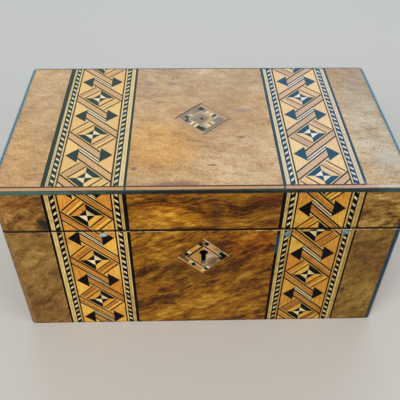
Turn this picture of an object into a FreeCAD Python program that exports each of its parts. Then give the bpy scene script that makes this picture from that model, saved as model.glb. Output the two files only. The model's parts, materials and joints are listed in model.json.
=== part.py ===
import FreeCAD, Part
import Sketcher
import math
import os
import re

# Walnut tea caddy with parquetry bands.
# Origin at the middle of the underside, +Z up, the keyhole front faces -Y.

doc = FreeCAD.newDocument("tea_caddy")

# Driving dimensions, millimetres and degrees
sizes = {
    "box_width": 230,
    "box_depth": 127,
    "box_height": 120,
    "lid_height": 32,
    "veneer_thick": 1,
    "board_thick": 9,
    "bottom_thick": 8,
    "lid_board_thick": 9,
    "lining_thick": 0.6,
    "corner_string": 4,
    "corner_radius": 3.5,
    "arris_radius": 1.6,
    "edge_string_width": 2.1,
    "arris_height": 0.5,
    "front_string_height": 2.8,
    "front_line_width": 1,
    "band_margin": 27.2,
    "ebony_line": 2,
    "box_line": 2,
    "rope_line": 2.8,
    "inner_box_line": 1,
    "rosewood_line": 0.9,
    "field_width": 28.2,
    "star_half": 6.6,
    "heart_half": 3.3,
    "white_line": 1.2,
    "strip_width": 4.8,
    "triangle_side": 6.3,
    "triangle_tip_gap": 0.5,
    "top_first_star": 38.6,
    "top_star_pitch": 39.2,
    "left_first_star": 18.6,
    "left_star_pitch": 38,
    "right_first_star": 34,
    "right_star_pitch": 38.8,
    "lozenge_half": 12.4,
    "lozenge_line": 0.8,
    "lozenge_ring": 5,
    "lozenge_from_back": 62,
    "escutcheon_half": 11,
    "escutcheon_line": 0.8,
    "escutcheon_ring": 3.7,
    "escutcheon_drop": 54.3,
    "inlay_line": 0.5,
    "key_drop": 51,
    "keyhole_radius": 2.7,
    "keyhole_slot": 2.8,
    "keyhole_reach": 10,
    "hinge_inset": 3,
    "hinge_margin": 39,
    "leaf_length": 28,
    "leaf_reach": 6,
    "leaf_thick": 1.2,
    "knuckle_radius": 2,
    "knuckle_gap": 0.25,
    "pin_radius": 0.8,
    "running_fit": 0.04,
    "back_bevel": 50,
    "hinge_screw_inset": 5,
    "screw_head_radius": 1.6,
    "screw_neck_radius": 0.9,
    "shank_radius": 0.7,
    "screw_length": 8,
    "screw_fit": 0.04,
    "lock_plate_width": 48,
    "lock_plate_height": 32,
    "lock_plate_thick": 1.5,
    "lock_depth": 7.5,
    "lock_margin": 4.5,
    "lock_sole": 2.5,
    "lock_screw_inset": 7,
    "lock_screw_length": 5.5,
    "cap_thick": 0.8,
    "cap_fit": 0.3,
    "drill_pin_radius": 1.1,
    "drill_pin_length": 6.2,
    "drill_pin_tip": 0.8,
    "slide_fit": 0.1,
    "bolt_thick": 1.6,
    "bolt_bar": 4.5,
    "bolt_post": 2,
    "bolt_prong": 2,
    "bolt_travel": 4.5,
    "talon_width": 7,
    "talon_depth": 3,
    "loop_spread": 9,
    "loop_drop": 7.5,
    "loop_wall": 0.8,
    "loop_width": 2.4,
    "loop_fit": 0.5,
    "eye_fit": 0.2,
    "spring_thick": 0.5,
    "spring_width": 2,
    "spring_radius": 10,
    "spring_gap": 0.2,
    "link_plate_width": 40,
    "link_plate_depth": 6,
    "link_plate_thick": 1.4,
    "link_screw_inset": 4,
    "divider_thick": 6,
    "foil_thick": 0.5,
    "rim_drop": 5,
    "inner_lid_thick": 5,
    "inner_lid_gap": 0.5,
    "inner_lid_edge": 1,
    "ledge_thick": 4,
    "ledge_width": 4,
    "knob_foot_radius": 4.6,
    "knob_foot": 0.8,
    "knob_neck_radius": 2.6,
    "knob_neck": 2,
    "knob_swell": 2,
    "knob_radius": 6,
    "knob_rim": 1.2,
    "knob_dome": 60,
    "peg_radius": 2.5,
    "peg_fit": 0.05,
}
sheet = doc.addObject("Spreadsheet::Sheet", "Sizes")
for row, (alias, size) in enumerate(sizes.items(), 1):
    sheet.set(f"A{row}", alias)
    sheet.set(f"B{row}", str(size))
    sheet.setAlias(f"B{row}", alias)

# Places that follow from the driving dimensions
places = {
    "half_x": "box_width / 2",
    "half_y": "box_depth / 2",
    "seam": "box_height - lid_height",
    "carcass_x": "half_x - veneer_thick",
    "carcass_y": "half_y - veneer_thick",
    "inner_x": "carcass_x - board_thick",
    "inner_y": "carcass_y - board_thick",
    "post_x": "half_x - corner_string",
    "post_y": "half_y - corner_string",
    "edge_x": "half_x - edge_string_width",
    "edge_y": "half_y - edge_string_width",
    "line_y": "edge_y - front_line_width",
    "top_skin": "box_height - veneer_thick",
    "lid_ceiling": "top_skin - lid_board_thick",
    "arris_foot": "box_height - arris_height",
    "string_foot": "arris_foot - front_string_height",
    "border": "ebony_line + box_line + rope_line + inner_box_line + rosewood_line",
    "band_half": "field_width / 2 + border",
    "band_out": "half_x - band_margin",
    "band_centre": "band_out - band_half",
    "band_in": "band_centre - band_half",
    "bevel_rise": "hinge_inset * tan(back_bevel)",
    "hinge_y": "half_y - hinge_inset",
    "leaf_end": "hinge_y - leaf_reach",
    "leaf_flat": "hinge_y - knuckle_radius - knuckle_gap",
    "leaf_screw_y": "(leaf_end + leaf_flat) / 2",
    "leaf_half": "leaf_length / 2",
    "hinge_spread": "half_x - hinge_margin - leaf_half",
    "barrel_half": "(leaf_length / 3 - knuckle_gap) / 2",
    "lock_x": "lock_plate_width / 2",
    "lock_foot": "seam - lock_plate_height",
    "plate_front": "inner_y + lock_plate_thick",
    "mortise_x": "lock_x - lock_margin",
    "mortise_foot": "lock_foot + lock_sole",
    "mortise_y": "inner_y + lock_depth",
    "selvedge_foot": "seam - lock_plate_thick",
    "lock_screw_x": "lock_x - lock_margin / 2",
    "cap_x": "mortise_x - cap_fit",
    "cap_foot": "mortise_foot + cap_fit",
    "cap_y": "mortise_y - cap_fit",
    "works_x": "cap_x - cap_thick",
    "works_foot": "cap_foot + cap_thick",
    "works_front": "cap_y - cap_thick",
    "works_y": "(works_front + plate_front) / 2",
    "key_z": "box_height - key_drop",
    "loop_foot": "seam - loop_drop",
    "eye_foot": "loop_foot + loop_wall",
    "eye_half": "bolt_thick / 2 + eye_fit",
    "loop_half": "eye_half + loop_wall",
    "prong_foot": "eye_foot + loop_fit",
    "prong_top": "prong_foot + bolt_prong",
    "bar_top": "loop_foot - loop_fit",
    "bar_foot": "bar_top - bolt_bar",
    "bar_end": "works_x - bolt_travel - cap_fit",
    "prong_back": "loop_width / 2 + loop_fit",
    "post_back": "prong_back + bolt_travel",
    "talon_x": "bolt_travel / 2 + talon_width / 2",
    "spring_x": "spring_radius - works_x",
    "spring_z": "bar_foot - spring_gap - spring_radius",
    "link_x": "link_plate_width / 2",
    "link_screw_x": "link_x - link_screw_inset",
    "cell_x": "divider_thick / 2",
    "cell_mid": "(cell_x + inner_x) / 2",
    "deck": "seam - rim_drop",
    "ledge_top": "deck - inner_lid_thick",
    "ledge_foot": "ledge_top - ledge_thick",
    "neck_z": "deck + knob_foot",
    "swell_z": "neck_z + knob_neck",
    "rim_z": "swell_z + knob_swell",
    "dome_z": "rim_z + knob_rim",
    "dome_radius": "knob_radius / cos(knob_dome)",
}

sides = {"left": -1, "right": 1}
decimals = 6  # places are the same where they agree to this many
smallest_tile = 0.02  # square millimetres: a scrap of inlay under this is left out
head_sides = 12
shank_sides = 6
scratch = doc.addObject("Spreadsheet::Sheet", "Scratch")
doc.recompute()


# A place or size written out in the sheet's own cells
def spell(text):
    def word(match):
        name = match.group(0)
        if name in places:
            return "(" + spell(places[name]) + ")"
        return "Sizes." + name if name in sizes else name
    return re.sub(r"[a-z_]+", word, text)


# The number that a place or size comes to
def value(text):
    scratch.set("A1", "=" + spell(text))
    scratch.recompute()
    return float(scratch.get("A1"))


def bind(thing, **properties):
    for name, text in properties.items():
        thing.setExpression(name, spell(text))


def put(thing, x, y, z):
    for name, text in (("x", x), ("y", y), ("z", z)):
        thing.setExpression("Placement.Base." + name, spell(text))


def add(kind, label):
    thing = doc.addObject(kind, label)
    thing.Label = label
    return thing


# Box between a low and a high place along each axis
def block(label, x, y, z):
    thing = add("Part::Box", label)
    bind(thing, Length=f"{x[1]} - ({x[0]})", Width=f"{y[1]} - ({y[0]})", Height=f"{z[1]} - ({z[0]})")
    put(thing, x[0], y[0], z[0])
    return thing


# A span on the positive side of the middle, or its mirror on the negative side
def mirrored(sign, low, high):
    return (low, high) if sign > 0 else (f"-({high})", f"-({low})")


def even(half):
    return (f"-({half})", half)


# Span of a given half width about a middle
def about(middle, half):
    return (f"{middle} - ({half})", f"{middle} + ({half})")


turns = {
    "x": FreeCAD.Rotation(FreeCAD.Vector(0, 1, 0), 90),
    "-y": FreeCAD.Rotation(FreeCAD.Vector(1, 0, 0), 90),
    "z": FreeCAD.Rotation(),
    "-z": FreeCAD.Rotation(FreeCAD.Vector(1, 0, 0), 180),
}
ways = {"x": (1, 0, 0), "-y": (0, -1, 0), "z": (0, 0, 1), "-z": (0, 0, -1)}


def rod(label, radius, length, start, axis):
    thing = add("Part::Cylinder", label)
    thing.Placement.Rotation = turns[axis]
    bind(thing, Radius=radius, Height=length)
    put(thing, *start)
    return thing


def taper(label, radius, end_radius, length, start, axis):
    thing = add("Part::Cone", label)
    thing.Placement.Rotation = turns[axis]
    bind(thing, Radius1=radius, Radius2=end_radius, Height=length)
    put(thing, *start)
    return thing


def group(label, things):
    thing = add("Part::Compound", label)
    thing.Links = things
    return thing


def fuse(label, things):
    thing = add("Part::MultiFuse", label)
    thing.Shapes = things
    thing.Refine = True
    return thing


def common(label, base, tool):
    thing = add("Part::Common", label)
    thing.Base = base
    thing.Tool = tool
    return thing


# Takes each tool out of the base in turn; the last cut carries the label
def cut(label, base, tools):
    for tool in tools:
        thing = add("Part::Cut", label + "_cut")
        thing.Base = base
        thing.Tool = tool
        base = thing
    base.Label = label
    return base


# Body with one closed sketch whose corners are bound to the sheet, ready to pad
def profile_body(label, plane, points):
    body = add("PartDesign::Body", label)
    sketch = body.newObject("Sketcher::SketchObject", label + "_profile")
    origin_plane = [o for o in body.Origin.OriginFeatures if o.Role == plane][0]
    sketch.AttachmentSupport = [(origin_plane, "")]
    sketch.MapMode = "FlatFace"
    corners = [FreeCAD.Vector(value(u), value(v), 0) for u, v in points]
    following = corners[1:] + corners[:1]
    for start, end in zip(corners, following):
        sketch.addGeometry(Part.LineSegment(start, end))
    for i, point in enumerate(points):
        sketch.addConstraint(Sketcher.Constraint("Coincident", i, 2, (i + 1) % len(points), 1))
        for kind, text in zip(("DistanceX", "DistanceY"), point):
            index = sketch.addConstraint(Sketcher.Constraint(kind, -1, 1, i, 1, value(text)))
            sketch.setExpression(f"Constraints[{index}]", spell(text))
    return body, sketch


def pad(body, sketch, length, midplane=False):
    thing = body.newObject("PartDesign::Pad", body.Label + "_pad")
    thing.Profile = sketch
    thing.Midplane = midplane
    bind(thing, Length=length)
    doc.recompute()
    return thing


# Edges of a feature that pass a test, by their names
def edges(feature, test):
    return [f"Edge{i}" for i, edge in enumerate(feature.Shape.Edges, 1) if test(edge)]


def level(edge, height):
    return all(round(vertex.Point.z - height, decimals) == 0 for vertex in edge.Vertexes)


def upright(edge):
    start, end = edge.Vertexes
    return round(start.Point.z - end.Point.z, decimals) != 0


parts = []


def keep(thing):
    parts.append(thing)
    return thing


# Outer form: the whole caddy as one block, with round corners and a soft top arris
corners = [("-half_x", "-half_y"), ("half_x", "-half_y"), ("half_x", "half_y"), ("-half_x", "half_y")]
outer_form, outer_profile = profile_body("outer_form", "XY_Plane", corners)
outer_pad = pad(outer_form, outer_profile, "box_height")
round_corners = outer_form.newObject("PartDesign::Fillet", "round_corners")
round_corners.Base = (outer_pad, edges(outer_pad, upright))
bind(round_corners, Radius="corner_radius")
doc.recompute()
round_arris = outer_form.newObject("PartDesign::Fillet", "round_arris")
round_arris.Base = (round_corners, edges(round_corners, lambda edge: level(edge, value("box_height"))))
bind(round_arris, Radius="arris_radius")


# Corner strings, let into the carcass at the four vertical corners
def corner_blocks(label, z):
    strings = []
    for sx in sides.values():
        for sy in sides.values():
            x = mirrored(sx, "post_x", "half_x")
            y = mirrored(sy, "post_y", "half_y")
            strings.append(block(f"{label}_{len(strings) + 1}", x, y, z))
    return group(label + "s", strings)


# Wedge cut behind the hinge line, so that the open lid leans back past upright
def bevel_wedge(label, rise):
    points = [("hinge_y", "seam"), ("half_y", f"seam + {rise}"), ("half_y", "seam")]
    body, sketch = profile_body(label, "YZ_Plane", points)
    pad(body, sketch, "box_width", midplane=True)
    return body


base_corners = corner_blocks("base_corner_block", ("0", "seam"))
lid_corners = corner_blocks("lid_corner_block", ("seam", "string_foot"))
base_bevel = bevel_wedge("base_bevel", "-bevel_rise")
lid_bevel = bevel_wedge("lid_bevel", "bevel_rise")
keep(cut("base_corner_strings", common("base_corner_rounds", base_corners, outer_form), [base_bevel]))
keep(cut("lid_corner_strings", common("lid_corner_rounds", lid_corners, outer_form), [lid_bevel]))

# Strings round the top edge of the lid: dark on three sides, dark under a light arris on the front
lip = ("string_foot", "box_height")
edge_blocks = [
    block("left_edge_block", mirrored(-1, "edge_x", "half_x"), even("edge_y"), lip),
    block("right_edge_block", mirrored(1, "edge_x", "half_x"), even("edge_y"), lip),
    block("back_edge_block", even("half_x"), ("edge_y", "half_y"), lip),
]
front_edge = mirrored(-1, "edge_y", "half_y")
front_block = block("front_block", even("half_x"), front_edge, ("string_foot", "arris_foot"))
arris_spans = [mirrored(-1, "band_in", "half_x"), even("band_in"), ("band_in", "half_x")]
arris_blocks = [
    block(f"arris_block_{i}", span, front_edge, ("arris_foot", "box_height"))
    for i, span in enumerate(arris_spans, 1)
]
front_lip = block("front_lip", even("half_x"), front_edge, lip)
keep(group("lid_edge_strings", [common("edge_string", string, outer_form) for string in edge_blocks]))
keep(common("lid_front_string", front_block, outer_form))
keep(group("lid_front_arris", [common("arris", strip, outer_form) for strip in arris_blocks]))
keep(block("lid_front_line", even("edge_x"), mirrored(-1, "line_y", "edge_y"), ("top_skin", "box_height")))


def facet(kind, label, count, radius, start, axis):
    thing = add(kind, label)
    thing.Polygon = count
    thing.Placement.Rotation = turns[axis]
    bind(thing, Circumradius=radius)
    put(thing, *start)
    return thing


# Countersunk wood screws at a list of places, or the holes for them.
# They are small, so a head has twelve flats and a shank six.
def screws(label, starts, axis, head, length, fit="0"):
    made = []
    for i, start in enumerate(starts, 1):
        end = [f"{place} + {step} * {head}" for place, step in zip(start, ways[axis])]
        cone = add("Part::Loft", f"{label}_head_{i}")
        cone.Sections = [
            facet("Part::RegularPolygon", f"{label}_rim_{i}", head_sides, f"screw_head_radius + {fit}", start, axis),
            facet("Part::RegularPolygon", f"{label}_neck_{i}", head_sides, f"screw_neck_radius + {fit}", end, axis),
        ]
        cone.Solid = True
        cone.Ruled = True
        shank = facet("Part::Prism", f"{label}_shank_{i}", shank_sides, f"shank_radius + {fit}", start, axis)
        bind(shank, Height=f"{length} + {fit}")
        made.append(fuse(f"{label}_{i}", [cone, shank]))
    return group(label, made)


# Butt hinges: leaves let into the rims, three knuckles on one pin, axis on the parting line
hinge_screw_places = []
for sign in sides.values():
    for end in sides.values():
        hinge_screw_x = f"{sign} * hinge_spread + {end} * (leaf_half - hinge_screw_inset)"
        hinge_screw_places.append((hinge_screw_x, "leaf_screw_y", "seam"))
lower_holes = screws("lower_hinge_hole", hinge_screw_places, "-z", "leaf_thick", "screw_length", "screw_fit")
upper_holes = screws("upper_hinge_hole", hinge_screw_places, "z", "leaf_thick", "screw_length", "screw_fit")
keep(screws("lower_hinge_screws", hinge_screw_places, "-z", "leaf_thick", "screw_length"))
keep(screws("upper_hinge_screws", hinge_screw_places, "z", "leaf_thick", "screw_length"))


def hinge_start(middle, beyond="0"):
    return (f"{middle} - leaf_half - {beyond}", "hinge_y", "seam")


def hinge_leaf(label, middle, z, knuckles, holes):
    pieces = [block(label + "_flat", about(middle, "leaf_half"), ("leaf_end", "leaf_flat"), z)]
    for i, place in enumerate(knuckles, 1):
        centre = f"{middle} + ({place})"
        pieces.append(block(f"{label}_tab_{i}", about(centre, "barrel_half"), ("leaf_flat", "hinge_y"), z))
        start = (f"{centre} - barrel_half", "hinge_y", "seam")
        pieces.append(rod(f"{label}_knuckle_{i}", "knuckle_radius", "2 * barrel_half", start, "x"))
    bore = rod(label + "_bore", "pin_radius + running_fit", "leaf_length", hinge_start(middle), "x")
    return cut(label, fuse(label + "_blank", pieces), [bore, holes])


lower_z = ("seam - leaf_thick", "seam")
upper_z = ("seam", "seam + leaf_thick")
outer_knuckles = ["barrel_half - leaf_half", "leaf_half - barrel_half"]
hinges = {"lower": [], "upper": [], "pins": []}
lower_recesses = [base_bevel, lower_holes]
upper_recesses = [lid_bevel, upper_holes]
for name, sign in sides.items():
    middle = f"{sign} * hinge_spread"
    hinges["lower"].append(hinge_leaf(f"{name}_lower_leaf", middle, lower_z, outer_knuckles, lower_holes))
    hinges["upper"].append(hinge_leaf(f"{name}_upper_leaf", middle, upper_z, ["0"], upper_holes))
    hinges["pins"].append(rod(f"{name}_pin", "pin_radius", "leaf_length", hinge_start(middle), "x"))
    bed = (about(middle, "leaf_half"), ("leaf_end", "hinge_y"))
    room = (hinge_start(middle, "knuckle_gap"), "leaf_length + 2 * knuckle_gap")
    knuckle_room = rod(f"{name}_knuckle_room", "knuckle_radius + knuckle_gap", room[1], room[0], "x")
    lower_recesses += [block(f"{name}_lower_bed", *bed, lower_z), knuckle_room]
    upper_recesses += [block(f"{name}_upper_bed", *bed, upper_z), knuckle_room]
keep(group("lower_hinge_leaves", hinges["lower"]))
keep(group("upper_hinge_leaves", hinges["upper"]))
keep(group("hinge_pins", hinges["pins"]))

# Keyhole: a round head over a slot, through the escutcheon, the board and the lock's cap
key_start = ("0", "-plate_front", "key_z")
keyhole = fuse("keyhole", [
    rod("keyhole_head", "keyhole_radius", "half_y - plate_front", key_start, "-y"),
    block("keyhole_slit", even("keyhole_slot / 2"), mirrored(-1, "plate_front", "half_y"),
          ("key_z - keyhole_reach", "key_z")),
])

# Box lock let into the back of the front board: plate and selvedge, cap, pin, bolt and spring
lock_screw_places = []
for sign in sides.values():
    for height in ("lock_foot + lock_screw_inset", "seam - lock_screw_inset"):
        lock_screw_places.append((f"{sign} * lock_screw_x", "-inner_y", height))
lock_holes = screws("lock_hole", lock_screw_places, "-y", "lock_plate_thick", "lock_screw_length", "screw_fit")
keep(screws("lock_screws", lock_screw_places, "-y", "lock_plate_thick", "lock_screw_length"))
lock_back = mirrored(-1, "inner_y", "plate_front")
lock_blank = fuse("lock_blank", [
    block("lock_plate", even("lock_x"), lock_back, ("lock_foot", "seam")),
    block("lock_selvedge", even("lock_x"), mirrored(-1, "inner_y", "mortise_y"), ("selvedge_foot", "seam")),
])
loop_slots = group("loop_slots", [
    block(f"{name}_loop_slot", about(f"{sign} * loop_spread", "loop_width / 2 + loop_fit"),
          about("-works_y", "loop_half + loop_fit"), ("selvedge_foot", "seam"))
    for name, sign in sides.items()
])
keep(cut("lock_case", lock_blank, [loop_slots, lock_holes]))
mortise = block("mortise", even("mortise_x"), mirrored(-1, "plate_front", "mortise_y"),
                ("mortise_foot", "selvedge_foot"))
cap_block = block("cap_block", even("cap_x"), mirrored(-1, "plate_front", "cap_y"), ("cap_foot", "selvedge_foot"))
works = block("works", even("works_x"), mirrored(-1, "plate_front", "works_front"), ("works_foot", "selvedge_foot"))
keep(cut("lock_cap", cap_block, [works, keyhole]))
pin_tip = ("0", "-plate_front - drill_pin_length", "key_z")
keep(fuse("lock_drill_pin", [
    rod("drill_pin_shank", "drill_pin_radius", "drill_pin_length", key_start, "-y"),
    taper("drill_pin_end", "drill_pin_radius", "drill_pin_radius / 2", "drill_pin_tip", pin_tip, "-y"),
]))
bolt_depth = mirrored(-1, "plate_front + slide_fit", "works_front - slide_fit")
bolt_pieces = [block("bolt_bar_block", ("-loop_spread - post_back - bolt_post", "bar_end"), bolt_depth,
                     ("bar_foot", "bar_top"))]
for name, sign in sides.items():
    loop = f"{sign} * loop_spread"
    thin = about("-works_y", "bolt_thick / 2")
    post = (f"{loop} - post_back - bolt_post", f"{loop} - post_back")
    bolt_pieces.append(block(f"{name}_bolt_post", post, thin, ("bar_top", "prong_top")))
    prong = (f"{loop} - post_back", f"{loop} - prong_back")
    bolt_pieces.append(block(f"{name}_bolt_prong", prong, thin, ("prong_foot", "prong_top")))
talon = block("talon", ("-talon_x", "talon_x - bolt_travel"), bolt_depth, ("bar_foot", "bar_foot + talon_depth"))
keep(cut("lock_bolt", fuse("bolt_blank", bolt_pieces), [talon]))
spring_depth = about("-works_y", "spring_width / 2")
spring_start = ("spring_x", "-works_y + spring_width / 2", "spring_z")
spring_ring = cut("spring_ring", rod("spring_outside", "spring_radius", "spring_width", spring_start, "-y"), [
    rod("spring_inside", "spring_radius - spring_thick", "spring_width", spring_start, "-y"),
])
spring_quarter = block("spring_quarter", ("-works_x", "spring_x"), spring_depth,
                       ("spring_z", "spring_z + spring_radius"))
keep(fuse("lock_spring", [
    common("spring_arm", spring_ring, spring_quarter),
    block("spring_foot", ("-works_x", "spring_thick - works_x"), spring_depth, ("works_foot", "spring_z")),
]))

# Link plate under the lid's front rail, with the two loops that the bolt's prongs enter
link_screw_places = [(f"{sign} * link_screw_x", "-works_y", "seam") for sign in sides.values()]
link_holes = screws("link_hole", link_screw_places, "z", "link_plate_thick", "screw_length", "screw_fit")
keep(screws("link_plate_screws", link_screw_places, "z", "link_plate_thick", "screw_length"))
link_span = (even("link_x"), about("-works_y", "link_plate_depth / 2"), ("seam", "seam + link_plate_thick"))
link_pieces = [block("link_flat", *link_span)]
eyes = []
for name, sign in sides.items():
    loop_x = about(f"{sign} * loop_spread", "loop_width / 2")
    link_pieces.append(block(f"{name}_loop", loop_x, about("-works_y", "loop_half"), ("loop_foot", "seam")))
    eyes.append(block(f"{name}_eye", loop_x, about("-works_y", "eye_half"), ("eye_foot", "seam")))
keep(cut("lock_link_plate", fuse("link_blank", link_pieces), eyes + [link_holes]))

# Carcass of the base
carcass_front = mirrored(-1, "inner_y", "carcass_y")
carcass_back = ("inner_y", "carcass_y")
base_z = ("0", "seam")
plate_bed = block("plate_bed", even("lock_x"), lock_back, ("lock_foot", "seam"))
selvedge_bed = block("selvedge_bed", even("lock_x"), mirrored(-1, "plate_front", "mortise_y"),
                     ("selvedge_foot", "seam"))
front_board = block("front_board", even("carcass_x"), carcass_front, base_z)
keep(cut("base_front_board", front_board, [base_corners, plate_bed, selvedge_bed, mortise, keyhole, lock_holes]))
back_board = block("back_board", even("carcass_x"), carcass_back, base_z)
keep(cut("base_back_board", back_board, [base_corners] + lower_recesses))
for name, sign in sides.items():
    keep(block(f"base_{name}_board", mirrored(sign, "inner_x", "carcass_x"), even("inner_y"), base_z))
keep(block("bottom_board", even("inner_x"), even("inner_y"), ("0", "bottom_thick")))

# Carcass of the lid
rail_z = ("seam", "lid_ceiling")
link_bed = block("link_bed", *link_span)
front_rail = block("front_rail", even("carcass_x"), carcass_front, rail_z)
keep(cut("lid_front_rail", front_rail, [lid_corners, link_bed, link_holes]))
back_rail = block("back_rail", even("carcass_x"), carcass_back, rail_z)
keep(cut("lid_back_rail", back_rail, [lid_corners] + upper_recesses))
for name, sign in sides.items():
    keep(block(f"lid_{name}_rail", mirrored(sign, "inner_x", "carcass_x"), even("inner_y"), rail_z))
top_board = block("top_board", even("carcass_x"), even("carcass_y"), ("lid_ceiling", "top_skin"))
keep(cut("lid_top_board", top_board, [lid_corners, front_lip] + edge_blocks))
keep(block("lid_lining", even("inner_x"), even("inner_y"), ("lid_ceiling - lining_thick", "lid_ceiling")))

# Inlay pieces are flat outlines in a face's own u and v, cut from half planes a*u + b*v <= c
diagonal = math.sqrt(0.5)


def clip(outline, a, b, c):
    kept = []
    for (u0, v0), (u1, v1) in zip(outline, outline[1:] + outline[:1]):
        d0 = round(a * u0 + b * v0 - c, decimals)
        d1 = round(a * u1 + b * v1 - c, decimals)
        if d0 <= 0:
            kept.append((u0, v0))
        if d0 * d1 < 0:
            part = d0 / (d0 - d1)
            kept.append((u0 + part * (u1 - u0), v0 + part * (v1 - v0)))
    return kept


def area(outline):
    pairs = zip(outline, outline[1:] + outline[:1])
    return abs(sum(u0 * v1 - u1 * v0 for (u0, v0), (u1, v1) in pairs)) / 2


def rectangle(u0, u1, v0, v1):
    return [(u0, v0), (u1, v0), (u1, v1), (u0, v1)]


# Half planes between two places: across the band, along it, and along its two diagonals
def u_span(low, high):
    return [(1, 0, high), (-1, 0, -low)]


def v_span(low, high):
    return [(0, 1, high), (0, -1, -low)]


def rising_span(low, high):
    return [(diagonal, diagonal, high), (-diagonal, -diagonal, -low)]


def falling_span(low, high):
    return [(diagonal, -diagonal, high), (-diagonal, diagonal, -low)]


# The pieces of one repeat of the band's field, with its star at the origin.
# The star is a square on its corner, framed by long and short laminated strips.
# Below it, two dark triangles point at the edges between light ones.
def repeat_pieces(pitch):
    far = value("box_width")
    star = value("star_half")
    heart = value("heart_half")
    line = star + value("white_line")
    strip = line + value("strip_width")
    edge = value("field_width") / 2
    inner = value("triangle_side")
    tip = edge - value("triangle_tip_gap")
    next_strip = pitch * diagonal - strip
    middle = -pitch / 2
    pieces = []
    for low, high in ((0, heart), (heart, star)):
        pieces.append(rising_span(low, high) + u_span(0, far) + v_span(0, far))
        pieces.append(rising_span(-high, -low) + u_span(-far, 0) + v_span(-far, 0))
        pieces.append(falling_span(low, high) + u_span(0, far) + v_span(-far, 0))
        pieces.append(falling_span(-high, -low) + u_span(-far, 0) + v_span(0, far))
    for low, high in ((star, line), (line, strip)):
        pieces.append(rising_span(low, high) + u_span(-inner, edge))
        pieces.append(rising_span(-high, -low) + u_span(-edge, inner))
    pieces.append(falling_span(star, strip) + rising_span(-star, star))
    pieces.append(falling_span(-strip, -star) + rising_span(-star, star))
    pieces.append(rising_span(-next_strip, -strip) + u_span(-inner, inner))
    pieces.append(falling_span(strip, far) + rising_span(-star, far) + u_span(-far, inner))
    pieces.append(falling_span(-far, -strip) + rising_span(-far, star) + u_span(-inner, far))
    left = u_span(-edge, -inner)
    right = u_span(inner, edge)
    above = v_span(middle, far)
    below = v_span(-far, middle)
    pieces.append(left + [(-1, 1, middle + tip), (-1, -1, tip - middle)])
    pieces.append(right + [(1, 1, middle + tip), (1, -1, tip - middle)])
    pieces.append(left + above + rising_span(-far, -strip) + [(1, -1, -middle - tip)])
    pieces.append(right + above + falling_span(strip, far) + rising_span(-far, star) + [(-1, -1, -middle - tip)])
    next_edges = [(-1, -1, pitch + star / diagonal), (1, -1, pitch - strip / diagonal)]
    pieces.append(left + below + next_edges + [(1, 1, middle - tip)])
    pieces.append(right + below + [(-1, 1, middle - tip), (-1, -1, pitch - strip / diagonal)])
    return pieces


# One length of parquetry band: its border strings and the field between them
def band_outlines(first, pitch, low, high, hand):
    edge = value("field_width") / 2
    outlines = []
    for name in ("rosewood_line", "inner_box_line", "rope_line", "box_line", "ebony_line"):
        outer = edge + value(name)
        outlines.append(rectangle(edge, outer, low, high))
        outlines.append(rectangle(-outer, -edge, low, high))
        edge = outer
    count = math.ceil((first - low) / pitch) + 1
    for repeat in range(-1, count):
        star = first - repeat * pitch
        for limits in repeat_pieces(pitch):
            outline = rectangle(-edge, edge, low, high)
            for a, b, c in limits:
                outline = clip(outline, hand * a, b, c + b * star)
            if len(outline) > 2 and area(outline) > smallest_tile:
                outlines.append(outline)
    return outlines


# Square inlay standing on its corner: an outer line, a ring with corner blocks, an inner line, a centre
def lozenge_outlines(half, line, ring):
    outside = value(half)
    inside = outside - value(line)
    field = inside - value(ring)
    centre = field - value("inlay_line")
    squares = [(-centre, centre, -centre, centre)]
    for outer, inner in ((outside, inside), (field, centre)):
        squares += [(inner, outer, -outer, outer), (-outer, -inner, -outer, outer)]
        squares += [(-inner, inner, inner, outer), (-inner, inner, -outer, -inner)]
    for low, high in ((field, inside), (-inside, -field)):
        squares += [(low, high, -field, field), (-field, field, low, high)]
        squares += [(low, high, field, inside), (low, high, -inside, -field)]
    return [[((p + q) * diagonal, (p - q) * diagonal) for p, q in rectangle(*square)] for square in squares]


def lozenge_edge(half):
    reach = value(half) / diagonal
    return [(reach, 0), (0, reach), (-reach, 0), (0, -reach)]


# Flat outlines made solid, one veneer thick, on the front face or on the lid's top
def inlay(label, outlines, face, middle):
    thick = value("veneer_thick")
    skin = value("top_skin") if face == "top" else -value("half_y")
    solids = []
    for outline in outlines:
        if face == "top":
            points = [FreeCAD.Vector(middle[0] + u, middle[1] + v, skin) for u, v in outline]
            rise = FreeCAD.Vector(0, 0, thick)
        else:
            points = [FreeCAD.Vector(middle[0] + u, skin, middle[1] + v) for u, v in outline]
            rise = FreeCAD.Vector(0, thick, 0)
        solids.append(Part.Face(Part.makePolygon(points + points[:1])).extrude(rise))
    thing = add("Part::Feature", label)
    thing.Shape = Part.makeCompound(solids)
    return thing


# Parquetry bands: over the lid's top, down its front and down the base's front
for name, sign in sides.items():
    middle = (sign * value("band_centre"), 0)
    top_star = value("half_y - top_first_star")
    top_run = (value("-line_y"), value("edge_y"))
    top_band = band_outlines(top_star, value("top_star_pitch"), *top_run, -sign)
    keep(inlay(f"lid_top_band_{name}", top_band, "top", middle))
    front_star = value(f"box_height - {name}_first_star")
    front_pitch = value(f"{name}_star_pitch")
    for height, low, high in (("lid", "seam", "string_foot"), ("base", "0", "seam")):
        front_band = band_outlines(front_star, front_pitch, value(low), value(high), 1)
        keep(inlay(f"{height}_front_band_{name}", front_band, "front", middle))

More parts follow.
